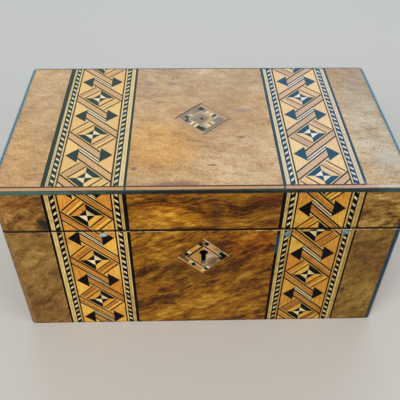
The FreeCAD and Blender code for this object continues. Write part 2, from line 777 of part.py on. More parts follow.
# Lozenge on the lid and keyhole escutcheon
lozenge_middle = (0, value("half_y - lozenge_from_back"))
escutcheon_middle = (0, value("box_height - escutcheon_drop"))
lozenge_hole = inlay("lozenge_hole", [lozenge_edge("lozenge_half")], "top", lozenge_middle)
escutcheon_hole = inlay("escutcheon_hole", [lozenge_edge("escutcheon_half")], "front", escutcheon_middle)
lozenge = lozenge_outlines("lozenge_half", "lozenge_line", "lozenge_ring")
escutcheon = lozenge_outlines("escutcheon_half", "escutcheon_line", "escutcheon_ring")
keep(inlay("lid_lozenge", lozenge, "top", lozenge_middle))
keep(cut("keyhole_escutcheon", inlay("escutcheon_tiles", escutcheon, "front", escutcheon_middle), [keyhole]))

# Walnut veneer in sheets between the inlays
front_skin = mirrored(-1, "carcass_y", "half_y")
lid_face = ("seam", "string_foot")
for name, sign in sides.items():
    outer_sheet = mirrored(sign, "band_out", "post_x")
    side_skin = mirrored(sign, "carcass_x", "half_x")
    keep(block(f"base_front_veneer_{name}", outer_sheet, front_skin, base_z))
    keep(block(f"lid_front_veneer_{name}", outer_sheet, front_skin, lid_face))
    keep(block(f"lid_top_veneer_{name}", mirrored(sign, "band_out", "edge_x"), ("-line_y", "edge_y"),
               ("top_skin", "box_height")))
    keep(block(f"base_{name}_veneer", side_skin, even("post_y"), base_z))
    keep(block(f"lid_{name}_veneer", side_skin, even("post_y"), lid_face))
front_sheet = block("front_sheet", even("band_in"), front_skin, base_z)
keep(cut("base_front_veneer_centre", front_sheet, [escutcheon_hole]))
keep(block("lid_front_veneer_centre", even("band_in"), front_skin, lid_face))
top_sheet = block("top_sheet", even("band_in"), ("-line_y", "edge_y"), ("top_skin", "box_height"))
keep(cut("lid_top_veneer_centre", top_sheet, [lozenge_hole]))
base_back_sheet = block("base_back_sheet", even("post_x"), ("carcass_y", "half_y"), base_z)
keep(cut("base_back_veneer", base_back_sheet, [base_bevel]))
lid_back_sheet = block("lid_back_sheet", even("post_x"), ("carcass_y", "half_y"), lid_face)
keep(cut("lid_back_veneer", lid_back_sheet, [lid_bevel]))

# Inside: a divider and two foil-lined tea wells, each with a ledge for its lift-out lid
keep(block("divider", even("cell_x"), even("inner_y"), ("bottom_thick", "deck")))
liners = []
ledges = []
for name, sign in sides.items():
    cell = (mirrored(sign, "cell_x", "inner_x"), even("inner_y"))
    liner = block(f"{name}_liner_block", *cell, ("bottom_thick", "ledge_foot"))
    well = block(f"{name}_well", mirrored(sign, "cell_x + foil_thick", "inner_x - foil_thick"),
                 even("inner_y - foil_thick"), ("bottom_thick + foil_thick", "ledge_foot"))
    liners.append(cut(f"{name}_liner", liner, [well]))
    ledge = block(f"{name}_ledge_block", *cell, ("ledge_foot", "ledge_top"))
    mouth = block(f"{name}_mouth", mirrored(sign, "cell_x + ledge_width", "inner_x - ledge_width"),
                  even("inner_y - ledge_width"), ("ledge_foot", "ledge_top"))
    ledges.append(cut(f"{name}_ledge", ledge, [mouth]))
keep(group("foil_liners", liners))
keep(group("lid_ledges", ledges))

# Inner lids with an eased top edge, and turned knobs pegged into them
for name, sign in sides.items():
    near, far = mirrored(sign, "cell_x + inner_lid_gap", "inner_x - inner_lid_gap")
    reach = "inner_y - inner_lid_gap"
    outline = [(near, f"-({reach})"), (far, f"-({reach})"), (far, reach), (near, reach)]
    leaf, leaf_profile = profile_body(f"{name}_lid_blank", "XY_Plane", outline)
    leaf_pad = pad(leaf, leaf_profile, "inner_lid_thick")
    eased = leaf.newObject("PartDesign::Chamfer", f"{name}_lid_edge")
    eased.Base = (leaf_pad, edges(leaf_pad, lambda edge: level(edge, value("inner_lid_thick"))))
    bind(eased, Size="inner_lid_edge")
    put(leaf, "0", "0", "ledge_top")
    axis = f"{sign} * cell_mid"
    peg_hole = rod(f"{name}_peg_hole", "peg_radius + peg_fit", "inner_lid_thick", (axis, "0", "ledge_top"), "z")
    keep(cut(f"inner_lid_{name}", leaf, [peg_hole]))
    dome = add("Part::Sphere", f"{name}_dome")
    bind(dome, Radius="dome_radius", Angle1="knob_dome")
    put(dome, axis, "0", "dome_z - dome_radius * sin(knob_dome)")
    keep(fuse(f"inner_lid_knob_{name}", [
        rod(f"{name}_peg", "peg_radius", "inner_lid_thick", (axis, "0", "ledge_top"), "z"),
        rod(f"{name}_foot", "knob_foot_radius", "knob_foot", (axis, "0", "deck"), "z"),
        rod(f"{name}_neck", "knob_neck_radius", "knob_neck", (axis, "0", "neck_z"), "z"),
        taper(f"{name}_swell", "knob_neck_radius", "knob_radius", "knob_swell", (axis, "0", "swell_z"), "z"),
        rod(f"{name}_rim", "knob_radius", "knob_rim", (axis, "0", "rim_z"), "z"),
        dome,
    ]))

doc.recompute()
for thing in doc.Objects:
    if "Invalid" in thing.State or "Error" in thing.State:
        raise RuntimeError(f"{thing.Label} did not build: {thing.State}")
for part in parts:
    if part.Shape.isNull() or not part.Shape.isValid() or not part.Shape.Solids:
        raise RuntimeError(f"{part.Label} has no sound solid")

os.makedirs("parts", exist_ok=True)
for part in parts:
    part.Shape.exportStep(f"parts/{part.Label}.step")
    print(part.Label, len(part.Shape.Solids), round(part.Shape.Volume, 2))
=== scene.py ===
import json
import math
import random
from functools import partial

import bmesh
import bpy
from mathutils import Matrix, Vector


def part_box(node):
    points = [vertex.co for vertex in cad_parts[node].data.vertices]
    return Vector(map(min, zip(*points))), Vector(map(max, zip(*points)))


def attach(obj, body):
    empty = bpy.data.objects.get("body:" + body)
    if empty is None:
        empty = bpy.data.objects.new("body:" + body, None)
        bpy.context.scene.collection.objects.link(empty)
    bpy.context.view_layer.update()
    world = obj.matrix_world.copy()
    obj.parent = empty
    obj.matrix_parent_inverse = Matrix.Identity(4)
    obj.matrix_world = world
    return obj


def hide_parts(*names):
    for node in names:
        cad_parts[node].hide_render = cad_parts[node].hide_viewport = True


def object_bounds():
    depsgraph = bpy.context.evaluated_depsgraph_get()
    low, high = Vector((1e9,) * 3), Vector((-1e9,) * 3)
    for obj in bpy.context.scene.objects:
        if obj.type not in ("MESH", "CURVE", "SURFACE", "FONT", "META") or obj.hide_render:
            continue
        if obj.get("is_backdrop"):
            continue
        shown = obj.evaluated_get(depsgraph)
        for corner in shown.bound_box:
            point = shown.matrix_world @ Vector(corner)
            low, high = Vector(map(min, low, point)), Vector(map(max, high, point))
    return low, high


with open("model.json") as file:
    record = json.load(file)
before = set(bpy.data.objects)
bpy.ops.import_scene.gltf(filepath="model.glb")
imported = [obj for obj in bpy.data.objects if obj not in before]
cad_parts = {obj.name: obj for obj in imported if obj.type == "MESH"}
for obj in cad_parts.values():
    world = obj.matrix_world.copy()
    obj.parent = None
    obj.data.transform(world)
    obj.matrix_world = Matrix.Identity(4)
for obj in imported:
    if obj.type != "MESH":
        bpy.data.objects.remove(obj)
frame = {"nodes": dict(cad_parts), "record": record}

# Walnut tea caddy with parquetry bands, dressed over its solids.
# Metres, Z up, and the keyhole front faces -Y.

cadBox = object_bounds()
mm = 0.001
same = 0.01 * mm  # places closer than this count as one
grainUnit = 10  # grain maps are in centimetres, ten millimetres each
nodes = frame["nodes"]
record = frame["record"]
bodies = record["behaviour"]["bodies"].items()
nodeBody = {node: body for body, members in bodies for node in members}
dice = random.Random(1860)  # every loose angle and tone comes from here
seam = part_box("base_front_board")[1].z
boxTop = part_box("lid_top_veneer_centre")[1].z
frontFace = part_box("base_front_veneer_centre")[0].y
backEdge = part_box("base_back_veneer")[1].y
print("frame loaded with", len(nodes), "nodes")


# Shader helpers


def paint(red, green, blue):  # a screen colour, 0 to 255, as the shader wants it
    def linear(level):
        level /= 255
        return level / 12.92 if level < 0.0405 else ((level + 0.055) / 1.055) ** 2.4
    return (linear(red), linear(green), linear(blue), 1)


def shades(places, *colours):  # the stops of a colour ramp
    return [(place, paint(*colour)) for place, colour in zip(places, colours)]


bench = {}  # the node tree of the material being made


def link(value, socket):
    if isinstance(value, bpy.types.NodeSocket):
        bench["tree"].links.new(value, socket)
    else:
        socket.default_value = value


def setShader(**values):
    shader = bench["tree"].nodes["Principled BSDF"]
    for socket, value in values.items():
        link(value, shader.inputs[socket.replace("_", " ")])


def setSurface(colour, roughness, normal):
    setShader(Base_Color=colour, Roughness=roughness, Normal=normal)


def startMaterial(name, **constants):
    material = bpy.data.materials.new(name)
    material.use_nodes = True
    bench["tree"] = material.node_tree
    setShader(**constants)
    return material


def addNode(kind, inputs=None, **settings):
    made = bench["tree"].nodes.new("ShaderNode" + kind)
    for key, setting in settings.items():
        setattr(made, key, setting)
    for key, value in (inputs or {}).items():
        link(value, made.inputs[key])
    return made


def objectSpace():
    return addNode("TexCoord").outputs["Object"]


def turned(turn, seed=(0, 0, 0)):  # object space, turned by degrees and moved
    angles = [math.radians(angle) for angle in turn]
    inputs = {"Vector": objectSpace(), "Location": seed, "Rotation": angles}
    return addNode("Mapping", inputs).outputs["Vector"]


def axesOf(vector):
    return addNode("SeparateXYZ", {"Vector": vector}).outputs


def vectorMath(operation, first, second):
    return addNode("VectorMath", {0: first, 1: second}, operation=operation).outputs["Vector"]


def stretched(vector, factors):
    return vectorMath("MULTIPLY", vector, factors)


def noise(vector, scale, detail=3, roughness=0.55):
    inputs = {"Vector": vector, "Scale": scale, "Detail": detail, "Roughness": roughness}
    return addNode("TexNoise", inputs).outputs["Fac"]


def calc(operation, first, second=0.0):
    return addNode("Math", {0: first, 1: second}, operation=operation).outputs["Value"]


def times(first, second):
    return calc("MULTIPLY", first, second)


def weighted(*pairs):  # sum of each value times its weight
    total = 0.0
    for value, weight in pairs:
        made = addNode("Math", {0: value, 1: weight, 2: total}, operation="MULTIPLY_ADD")
        total = made.outputs["Value"]
    return total


def spread(value, low, high, start=0.0, end=1.0):
    inputs = {"Value": value, "From Min": low, "From Max": high, "To Min": start, "To Max": end}
    return addNode("MapRange", inputs, interpolation_type="SMOOTHSTEP").outputs["Result"]


def sheen(cloud, start, end):  # roughness between two limits, following a noise
    return spread(cloud, 0.3, 0.7, start, end)


def ramp(value, stops):
    made = addNode("ValToRGB", {"Fac": value})
    points = made.color_ramp.elements
    points[0].position, points[0].color = stops[0]
    points[1].position, points[1].color = stops[-1]
    for place, colour in stops[1:-1]:
        points.new(place).color = colour
    return made.outputs["Color"]


def blend(factor, first, second, mode="MIX"):
    inputs = {0: factor, 6: first, 7: second}
    return addNode("Mix", inputs, data_type="RGBA", blend_type=mode).outputs[2]


def dent(height, depth, under=None):
    inputs = {"Height": height, "Distance": depth, "Strength": 1.0}
    if under:
        inputs["Normal"] = under
    return addNode("Bump", inputs).outputs["Normal"]


def awayFrom(plain, middle, reach):  # 0 at the middle, 1 at the reach, both in millimetres
    apart = vectorMath("SUBTRACT", plain, Vector(middle) * mm)
    apart = vectorMath("DIVIDE", apart, Vector(reach) * mm)
    return addNode("VectorMath", {0: apart}, operation="LENGTH").outputs["Value"]


def addMarks(plain, colour, marks, fineness, edge):  # ragged patches over a colour
    for middle, reach, markColour, strength in marks:
        away = awayFrom(plain, middle, reach)
        ragged = weighted((away, 1.0), (noise(plain, fineness, 4), 1.4))
        colour = blend(spread(ragged, *edge, 0, strength), colour, paint(*markColour))
    return colour


# Walnut veneer: burr clouds, curled figure, long fibres and pores under worn french polish

frontPlaces = (0.38, 0.45, 0.51, 0.57, 0.65)
topPlaces = (0.38, 0.46, 0.53, 0.64)
frontWalnut = shades(frontPlaces, (60, 30, 3), (112, 65, 7), (149, 97, 14), (177, 125, 28), (210, 164, 70))
endWalnut = shades(frontPlaces, (80, 50, 16), (118, 82, 34), (146, 108, 50), (168, 128, 68), (200, 162, 104))
topWalnut = shades(topPlaces, (166, 120, 66), (201, 157, 100), (218, 178, 121), (235, 203, 154))
plainMix = (0.42, 0.32, 0.26)  # shares of cloud, burr and fibre
lidMix = (0.45, 0.25, 0.3)
burrMix = (0.3, 0.48, 0.22)
walnutLooks = {  # axes: the one the grain follows and the one that faces out
    "front": {
        "colours": frontWalnut, "axes": (0, 1), "turn": (0, 26, 0), "seed": (3.1, 0, 1.7), "along": 0.4,
        "contrast": 1.25, "speckle": 0.08, "pits": 0.45, "mix": plainMix,
    },
    "frontEnds": {
        "colours": endWalnut, "axes": (0, 1), "turn": (0, 44, 0), "seed": (6.4, 0, 4.2), "along": 0.6,
        "contrast": 0.85, "speckle": 0.15, "pits": 0.45, "mix": burrMix,
    },
    "lid": {
        "colours": frontWalnut, "axes": (0, 1), "turn": (0, 5, 0), "seed": (5.6, 0, 2.9), "along": 0.2,
        "contrast": 1.35, "speckle": 0.1, "pits": 0.45, "mix": lidMix,
    },
    "lidEnds": {
        "colours": endWalnut, "axes": (0, 1), "turn": (0, 16, 0), "seed": (1.6, 0, 7.9), "along": 0.5,
        "contrast": 1.35, "speckle": 0.15, "pits": 0.45, "mix": burrMix,
    },
    "top": {
        "colours": topWalnut, "axes": (0, 2), "turn": (0, 0, 14), "seed": (0.4, 5.2, 0), "along": 0.5,
        "contrast": 1.2, "speckle": 0.36, "pits": 0.7, "mix": burrMix,
    },
    "side": {
        "colours": frontWalnut, "axes": (1, 0), "turn": (14, 0, 0), "seed": (0, 2.3, 6.1), "along": 0.42,
        "contrast": 1.2, "speckle": 0.08, "pits": 0.45, "mix": plainMix,
    },
    "back": {
        "colours": frontWalnut, "axes": (0, 1), "turn": (0, -9, 0), "seed": (8.3, 0, 2.2), "along": 0.34,
        "contrast": 1.2, "speckle": 0.08, "pits": 0.45, "mix": plainMix,
    },
}
walnutGrain = {  # swirls go by scale and reach, noises by scale, detail and roughness
    "curl": (26, 0.03), "knot": (90, 0.01), "drift": (45, 0.014),
    "cloud": (60, 4, 0.6), "burr": (210, 4, 0.65), "fibre": (700, 3), "pore": (2100, 1),
    "speckle": (950, 2, 0.6), "haze": (70, 3), "gloss": (90, 4), "ripple": (34, 2),
    "shade": (14, 2), "shadeColours": shades((0.36, 0.6), (224, 212, 204), (255, 255, 255)),
    "draw": 0.25, "press": 0.02, "figure": 0.02, "figureTurns": 44.0, "pitScale": 430.0, "pitsLeftOut": 0.6,
    "rippleDepth": 0.5 * mm, "fibreDepth": 0.05 * mm,
}
# Broad tints left by sun and handling, with bluish painted sky reflection on the top: middle and reach in
# millimetres, multiplier
walnutTints = {
    "front": [
        ((30, -63, 76), (20, 9, 12), (1.12, 0.92, 0.8)),
        ((-6, -63, 52), (36, 9, 14), (0.72, 0.7, 0.8)),
        ((24, -63, 30), (24, 9, 30), (0.86, 0.84, 0.75)),
    ],
    "frontEnds": [((104, -63, 45), (24, 9, 75), (0.85, 0.9, 0.7))],
    "lid": [
        ((34, -63, 104), (22, 9, 18), (0.68, 0.64, 0.75)),
        ((-18, -63, 103), (24, 9, 15), (1.24, 1.14, 0.95)),
    ],
    "lidEnds": [
        ((-104, -63, 104), (28, 9, 28), (1.3, 1.32, 1.2)),
        ((104, -63, 104), (28, 9, 28), (1.26, 1.42, 1.35)),
    ],
    "top": [
        # these three bluish tints are a painted sky reflection
        ((0, 52, 120), (75, 34, 9), (1.02, 1.1, 1.35)),
        ((106, 0, 120), (24, 90, 9), (0.84, 1.06, 1.7)),
        ((28, -40, 120), (36, 30, 9), (1.22, 1.36, 1.7)),
        ((-26, -26, 120), (28, 30, 9), (1.16, 0.99, 0.55)),
        ((-104, -36, 120), (18, 36, 9), (1.08, 1, 0.85)),
    ],
}
# Marks that years of use left on the polish: middle and reach in millimetres, colour, strength
walnutMarks = {
    "front": [
        ((-17, -63, 56), (9, 9, 5), (62, 32, 6), 0.5),
        ((12, -63, 53), (10, 9, 5), (74, 42, 14), 0.45),
        ((40.4, -63, 74.6), (1.6, 9, 1.6), (26, 14, 10), 0.9),
    ],
    "frontEnds": [
        ((-90, -63, 50), (5, 9, 8), (74, 46, 18), 0.5),
        ((89.8, -63, 30.5), (2.4, 9, 5), (58, 36, 30), 0.6),
    ],
    "lid": [
        ((36, -63, 112), (12, 9, 3.5), (104, 42, 14), 0.55),
        ((-6, -63, 90), (16, 9, 1.8), (40, 20, 4), 0.8),
        ((7, -63, 101), (6, 9, 14), (66, 38, 8), 0.6),
    ],
    "lidEnds": [
        ((-89.6, -63, 94), (4.8, 9, 7.5), (20, 22, 19), 0.95),
        ((-102, -63, 111), (14, 9, 6), (112, 46, 22), 0.42),
    ],
    "top": [
        ((-15, -60, 120), (20, 3.5, 9), (128, 88, 76), 0.7),
        ((26, 10, 120), (7, 3, 9), (158, 132, 120), 0.7),
        ((-34.5, 42, 120), (4, 2.5, 9), (142, 118, 112), 0.7),
        ((-19.5, 42, 120), (3.5, 2.5, 9), (146, 118, 108), 0.7),
        ((-38.7, -46.4, 120), (2.2, 2.2, 9), (110, 96, 74), 0.8),
        ((23, -17.7, 120), (3, 1.4, 9), (92, 68, 50), 0.8),
        ((5, -43.5, 120), (4, 1.2, 9), (98, 72, 52), 0.7),
        ((104, -40, 120), (12, 8, 9), (190, 190, 188), 0.35),
    ],
}
polish = {"Specular_IOR_Level": 0.11, "Coat_Weight": 0.04, "Coat_Roughness": 0.1}
darkPolish = {"Specular_IOR_Level": 0.06, "Coat_Weight": 0.0, "Coat_Roughness": 0.1}
topPolish = {"Specular_IOR_Level": 0.28, "Coat_Weight": 0.08, "Coat_Roughness": 0.1}
seamLook = {  # depths of the painted highlight below the parting line, painted gap shadow and grime above it, heights of the darker foot
    "arris": (0.95 * mm, 0.2 * mm), "arrisColour": paint(220, 188, 140),
    "rim": 0.12 * mm, "chips": (420, 3), "patches": (30, 2),
    "grime": (2.3 * mm, 1.2 * mm), "grimeColour": paint(18, 8, 3),
    "foot": (4 * mm, 2 * mm), "footColour": paint(42, 22, 10), "footRagged": 4 * mm,
}
# a dark teal band beside the edge strings on the top; its teal is a painted sky reflection
stringBandSheen = {"across": (111.2 * mm, 112.6 * mm), "colour": paint(92, 112, 110), "strength": 0.6}


def swirl(place, scale, reach):
    drift = addNode("TexNoise", {"Vector": place, "Scale": scale, "Detail": 2.0}).outputs["Color"]
    drift = vectorMath("SUBTRACT", drift, (0.5, 0.5, 0.5))
    return vectorMath("ADD", place, stretched(drift, (reach, reach, reach)))


def seamHighlightShadeAndDirt(plain, colour):  # painted highlight on the rubbed arris under the parting line, painted gap shadow and old dirt in it, darker towards the foot
    height = axesOf(plain)["Z"]
    chips = noise(plain, *seamLook["chips"])
    patches = noise(plain, *seamLook["patches"])
    rim = calc("GREATER_THAN", height, seam - seamLook["rim"])
    arris = spread(height, *(seam - depth for depth in seamLook["arris"]))
    arris = times(arris, calc("SUBTRACT", 1.0, rim))
    arris = times(arris, spread(chips, 0.4, 0.6, 0.2, 0.9))
    arris = times(arris, spread(patches, 0.42, 0.56, 0.25, 1.0))
    # painted highlight along the rubbed arris
    colour = blend(arris, colour, seamLook["arrisColour"])
    # painted shadow of the parting gap, with old dirt
    dirt = spread(height, *(seam + rise for rise in seamLook["grime"]), 0, 0.92)
    colour = blend(times(dirt, rim), colour, seamLook["grimeColour"])
    ragged = weighted((height, 1.0), (chips, seamLook["footRagged"]))
    return blend(spread(ragged, *seamLook["foot"], 0, 0.6), colour, seamLook["footColour"])


def walnut(name):
    look, grain = walnutLooks[name], walnutGrain
    material = startMaterial("walnut_" + name, **(topPolish if name == "top" else polish))
    plain = objectSpace()
    place = turned(look["turn"], look["seed"])
    grainAxis, outAxis = look["axes"]
    stretch = [look["along"] if axis == grainAxis else 1 for axis in range(3)]
    drawn = [grain["draw"] * part if axis == grainAxis else part for axis, part in enumerate(stretch)]
    pressed = [grain["press"] if axis == outAxis else part for axis, part in enumerate(stretch)]
    curled = stretched(swirl(place, *grain["curl"]), stretch)
    knotted = stretched(swirl(place, *grain["knot"]), stretch)
    fibres = stretched(swirl(place, *grain["drift"]), drawn)
    cloud = noise(curled, *grain["cloud"])
    burr = noise(knotted, *grain["burr"])
    figure = calc("SINE", times(cloud, grain["figureTurns"]))
    fibre = noise(fibres, *grain["fibre"])
    pore = noise(fibres, *grain["pore"])
    speckle = noise(place, *grain["speckle"])
    body = look["contrast"] * (1 - look["speckle"])
    flecks = look["contrast"] * look["speckle"]
    broad, knots, threads = (share * body for share in look["mix"])
    evenOut = 0.5 - 0.5 * look["contrast"]  # keeps the middle tone where it is
    tone = weighted((cloud, broad), (burr, knots), (fibre, threads), (figure, grain["figure"] * body),
                    (speckle, flecks), (1.0, evenOut))
    colour = ramp(tone, look["colours"])
    colour = blend(1.0, colour, ramp(noise(place, *grain["shade"]), grain["shadeColours"]), "MULTIPLY")
    for middle, reach, tint in walnutTints.get(name, []):
        away = awayFrom(plain, middle, reach)
        hazy = weighted((away, 1.0), (noise(plain, *grain["haze"]), 0.5))
        colour = blend(spread(hazy, 1.4, 0.6), colour, (*tint, 1), "MULTIPLY")
    inputs = {"Vector": stretched(place, pressed), "Scale": grain["pitScale"]}
    cells = addNode("TexVoronoi", inputs).outputs
    chosen = calc("GREATER_THAN", axesOf(cells["Color"])["X"], grain["pitsLeftOut"])
    pits = times(spread(cells["Distance"], 0.26, 0.1, 0, look["pits"]), chosen)
    darkest = look["colours"][0][1]
    colour = blend(pits, colour, darkest)
    colour = blend(spread(pore, 0.6, 0.7, 0, 0.5), colour, darkest)
    colour = addMarks(plain, colour, walnutMarks.get(name, []), 150, (1.8, 1.0))
    if name == "top":  # a dark teal band painted along the edge strings widens them; its teal is a painted sky reflection
        across = calc("ABSOLUTE", axesOf(plain)["X"])
        stringBand = spread(across, *stringBandSheen["across"], 0, stringBandSheen["strength"])
        colour = blend(stringBand, colour, stringBandSheen["colour"])
    else:
        colour = seamHighlightShadeAndDirt(plain, colour)
    rough = sheen(noise(plain, *grain["gloss"]), 0.24, 0.44)
    ripple = dent(noise(plain, *grain["ripple"]), grain["rippleDepth"])
    fine = weighted((fibre, 0.5), (pore, 0.5))
    setSurface(colour, rough, dent(fine, grain["fibreDepth"], ripple))
    return material


walnuts = {name: walnut(name) for name in walnutLooks}
print("walnut polished in", len(walnuts), "cuts")


# Inlay woods, read along each piece's own grain map, with a tone of its own for each tile

inlayLooks = {  # dark and light streaks, the colour of the painted sky reflection on the top, smoothest and roughest polish
    "ebony": ((3, 3, 5), (16, 12, 16), (62, 80, 72), (0.16, 0.32)),
    "rosewood": ((16, 3, 2), (46, 12, 6), (98, 76, 54), (0.24, 0.4)),
    "boxwood": ((176, 138, 64), (232, 202, 124), (246, 220, 166), (0.26, 0.42)),
    "straw": ((146, 102, 42), (204, 160, 82), (236, 208, 150), (0.26, 0.42)),
    "holly": ((204, 172, 114), (248, 230, 182), (246, 228, 186), (0.26, 0.42)),
    "satinwood": ((202, 122, 34), (246, 196, 84), (250, 212, 146), (0.24, 0.4)),
    "tulipwood": ((146, 74, 16), (214, 142, 58), (228, 188, 142), (0.24, 0.4)),
    "pearwood": ((146, 94, 50), (214, 160, 106), (210, 164, 120), (0.24, 0.4)),
    "mauve": ((98, 76, 62), (164, 138, 114), (158, 140, 126), (0.26, 0.42)),
    "olive": ((62, 42, 12), (144, 108, 50), (150, 128, 96), (0.26, 0.42)),
    "greyHolly": ((130, 110, 90), (214, 204, 186), (196, 186, 168), (0.26, 0.42)),
    "paleWalnut": ((150, 108, 66), (212, 172, 126), (204, 172, 136), (0.26, 0.42)),
    "wornEbony": ((84, 54, 20), (172, 130, 72), (172, 130, 72), (0.3, 0.5)),
    # ebony with a painted blue sky reflection in its colour
    "blueEbony": ((10, 26, 38), (40, 76, 96), (54, 92, 110), (0.16, 0.34)),
    "greenEbony": ((12, 18, 16), (56, 72, 66), (70, 92, 84), (0.2, 0.4)),
}
darkWoods = ("ebony", "rosewood")
inlayGrain = {  # stretch of each noise over the grain map, its detail and roughness
    "streak": ((0.9, 11, 1), 4, 0.6),
    "mottle": ((4, 9, 1), 3, 0.6),
    "fibre": ((5, 80, 1), 2, 0.55),
}
inlaySurface = {
    "dirt": (160, 4), "dirtColour": paint(150, 112, 84),
    "ripple": (60, 2), "rippleDepth": 0.25 * mm, "fibreDepth": 0.02 * mm,
}
reflectionAndShade = {  # painted sky reflection pales the woods on the top and turns their right end cool, and painted shade dulls the right end in front
    "depths": (1.3 * mm, 0.78 * mm),
    "strength": 0.63,
    "rightEnd": (10 * mm, 60 * mm),
    "ebonyRight": paint(50, 98, 106),
    "cool": (1.0, 1.08, 1.6, 1),
    "dull": (0.8, 0.81, 0.76, 1),
}
# painted highlight along the side edges of the top
edgeHighlight = {"wood": "blueEbony", "across": (113.3 * mm, 114.0 * mm), "colour": paint(150, 194, 208)}
leftCorner = {"wood": "wornEbony", "across": (-113.9 * mm, -114.5 * mm), "colour": paint(34, 20, 12)}
# Scuffs on the inlays, and painted reflections along the lid's front edge: middle and reach in millimetres,
# colour, strength
inlayMarks = [
    ((-57.3, -63, 85.6), (2.8, 9, 1.6), (190, 200, 204), 0.85),
    ((48.5, -63, 84.6), (2.4, 9, 2.6), (112, 134, 150), 0.8),
    ((82.6, -63, 85.6), (3.4, 9, 2.2), (92, 140, 150), 0.8),
    # painted sky reflection at the right end of the top front edge
    ((103, -63, 120.5), (20, 9, 1.1), (222, 210, 194), 0.7),
    ((43, -63, 76), (1.6, 9, 11), (30, 72, 92), 0.7),
    # painted dark reflection along the middle of the front string, painted sky reflection at its ends
    ((2, -63, 117.7), (40, 9, 1.7), (26, 22, 20), 0.8),
    ((-94, -63, 118), (42, 9, 1.6), (88, 120, 108), 0.6),
    ((108, -63, 118), (20, 9, 1.6), (62, 92, 98), 0.5),
    ((3.2, -63, 65), (1.7, 9, 2.8), (184, 182, 174), 0.5),
    ((6.4, -63, 61.8), (4.8, 9, 3.2), (104, 78, 44), 0.7),
]


def inlayWood(name):
    dark, light, reflectedTone, polished = inlayLooks[name]
    surface = inlaySurface
    material = startMaterial("inlay_" + name, **(darkPolish if name in darkWoods else polish))
    grain = addNode("UVMap", uv_map="grain").outputs["UV"]
    tone = addNode("Attribute", attribute_name="tone").outputs["Fac"]
    streak, mottle, fibre = (
        noise(stretched(grain, stretch), 1.0, detail, roughness)
        for stretch, detail, roughness in inlayGrain.values()
    )
    plain = objectSpace()
    dirt = noise(plain, *surface["dirt"])
    value = weighted((streak, 0.7), (mottle, 0.5), (fibre, 0.35), (tone, 0.18))
    colour = ramp(value, shades((0.55, 1.0), dark, light))
    colour = blend(spread(dirt, 0.5, 0.8, 0, 0.6), colour, surface["dirtColour"], "MULTIPLY")
    parts = axesOf(plain)
    # painted sky reflection over the woods on the top
    skyReflection = spread(parts["Z"], *(boxTop - depth for depth in reflectionAndShade["depths"]), 0, reflectionAndShade["strength"])
    rightEnd = spread(parts["X"], *reflectionAndShade["rightEnd"])
    reflectionColour = paint(*reflectedTone)
    # ebony takes a teal painted sky reflection at the right end of the top
    if name == "ebony":
        reflectionColour = blend(rightEnd, reflectionColour, reflectionAndShade["ebonyRight"])
    colour = blend(skyReflection, colour, reflectionColour)
    onTopOnly = calc("DIVIDE", skyReflection, reflectionAndShade["strength"])
    # painted shade on the right end in front, a painted cool sky reflection on it on the top
    rightEndShadeAndSky = blend(onTopOnly, reflectionAndShade["dull"], reflectionAndShade["cool"])
    colour = blend(rightEnd, colour, rightEndShadeAndSky, "MULTIPLY")
    if name == edgeHighlight["wood"]:  # painted highlight of the sky along the rounded side edges of the top
        edge = spread(calc("ABSOLUTE", parts["X"]), *edgeHighlight["across"], 0, 0.85)
        colour = blend(times(edge, onTopOnly), colour, edgeHighlight["colour"])
    if name == leftCorner["wood"]:  # a thin dark line runs along the corner
        line = spread(parts["X"], *leftCorner["across"], 0, 0.9)
        colour = blend(line, colour, leftCorner["colour"])
    colour = addMarks(plain, colour, inlayMarks, 260, (1.8, 1.2))
    colour = seamHighlightShadeAndDirt(plain, colour)
    ripple = dent(noise(plain, *surface["ripple"]), surface["rippleDepth"])
    normal = dent(fibre, surface["fibreDepth"], ripple)
    setSurface(colour, sheen(dirt, *polished), normal)
    return material


inlayNames = list(inlayLooks)
inlayFinishes = [inlayWood(name) for name in inlayNames]
woodIndex = {name: index for index, name in enumerate(inlayNames)}
print("inlay woods ready:", ", ".join(inlayNames))


# Plain boards and inner joinery, with the grain along X or Y

boardLooks = {
    "carcass": {"draw": 0.05, "dark": paint(78, 46, 22), "light": paint(146, 98, 54), "rough": (0.5, 0.75)},
    "mahogany": {"draw": 0.06, "dark": paint(62, 22, 10), "light": paint(136, 62, 28), "rough": (0.25, 0.42)},
}
boardCuts = {"Across": 0, "Deep": 1}  # the axis that the grain follows
boardGrain = {
    "turn": (2, 3, 2), "rings": (190, 4, 0.6), "fibre": (1500, 2), "stain": (22, 4), "depth": 0.08 * mm,
}
# old glue, and painted shade in the parting gap, on the carcass faces under the veneer
glueAndGapShade = {
    "x": -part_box("base_left_veneer")[1].x,
    "y": -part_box("base_front_veneer_left")[1].y,
    "depth": 0.3 * mm, "strength": 0.9, "colour": paint(16, 9, 5),
}
keyhole = {  # painted shade inside the keyhole, a painted glint low in its slot; places in millimetres
    "middle": (0, -56, 66), "reach": (7, 14, 8), "dirt": paint(5, 5, 6),
    "foot": (62, 58.6), "inward": (-57, -60), "glint": paint(140, 180, 192),
}


def keyholeShadeAndGlint(plain, colour):  # painted shade: black inside, with a painted grey glint low in the slot
    away = awayFrom(plain, keyhole["middle"], keyhole["reach"])
    parts = axesOf(plain)
    low = spread(parts["Z"], *(height * mm for height in keyhole["foot"]), 0, 0.8)
    near = spread(parts["Y"], *(depth * mm for depth in keyhole["inward"]))
    # the painted shade's black, with the painted glint low in the slot
    dirt = blend(times(low, near), keyhole["dirt"], keyhole["glint"])
    return blend(spread(away, 1.1, 0.95), colour, dirt)


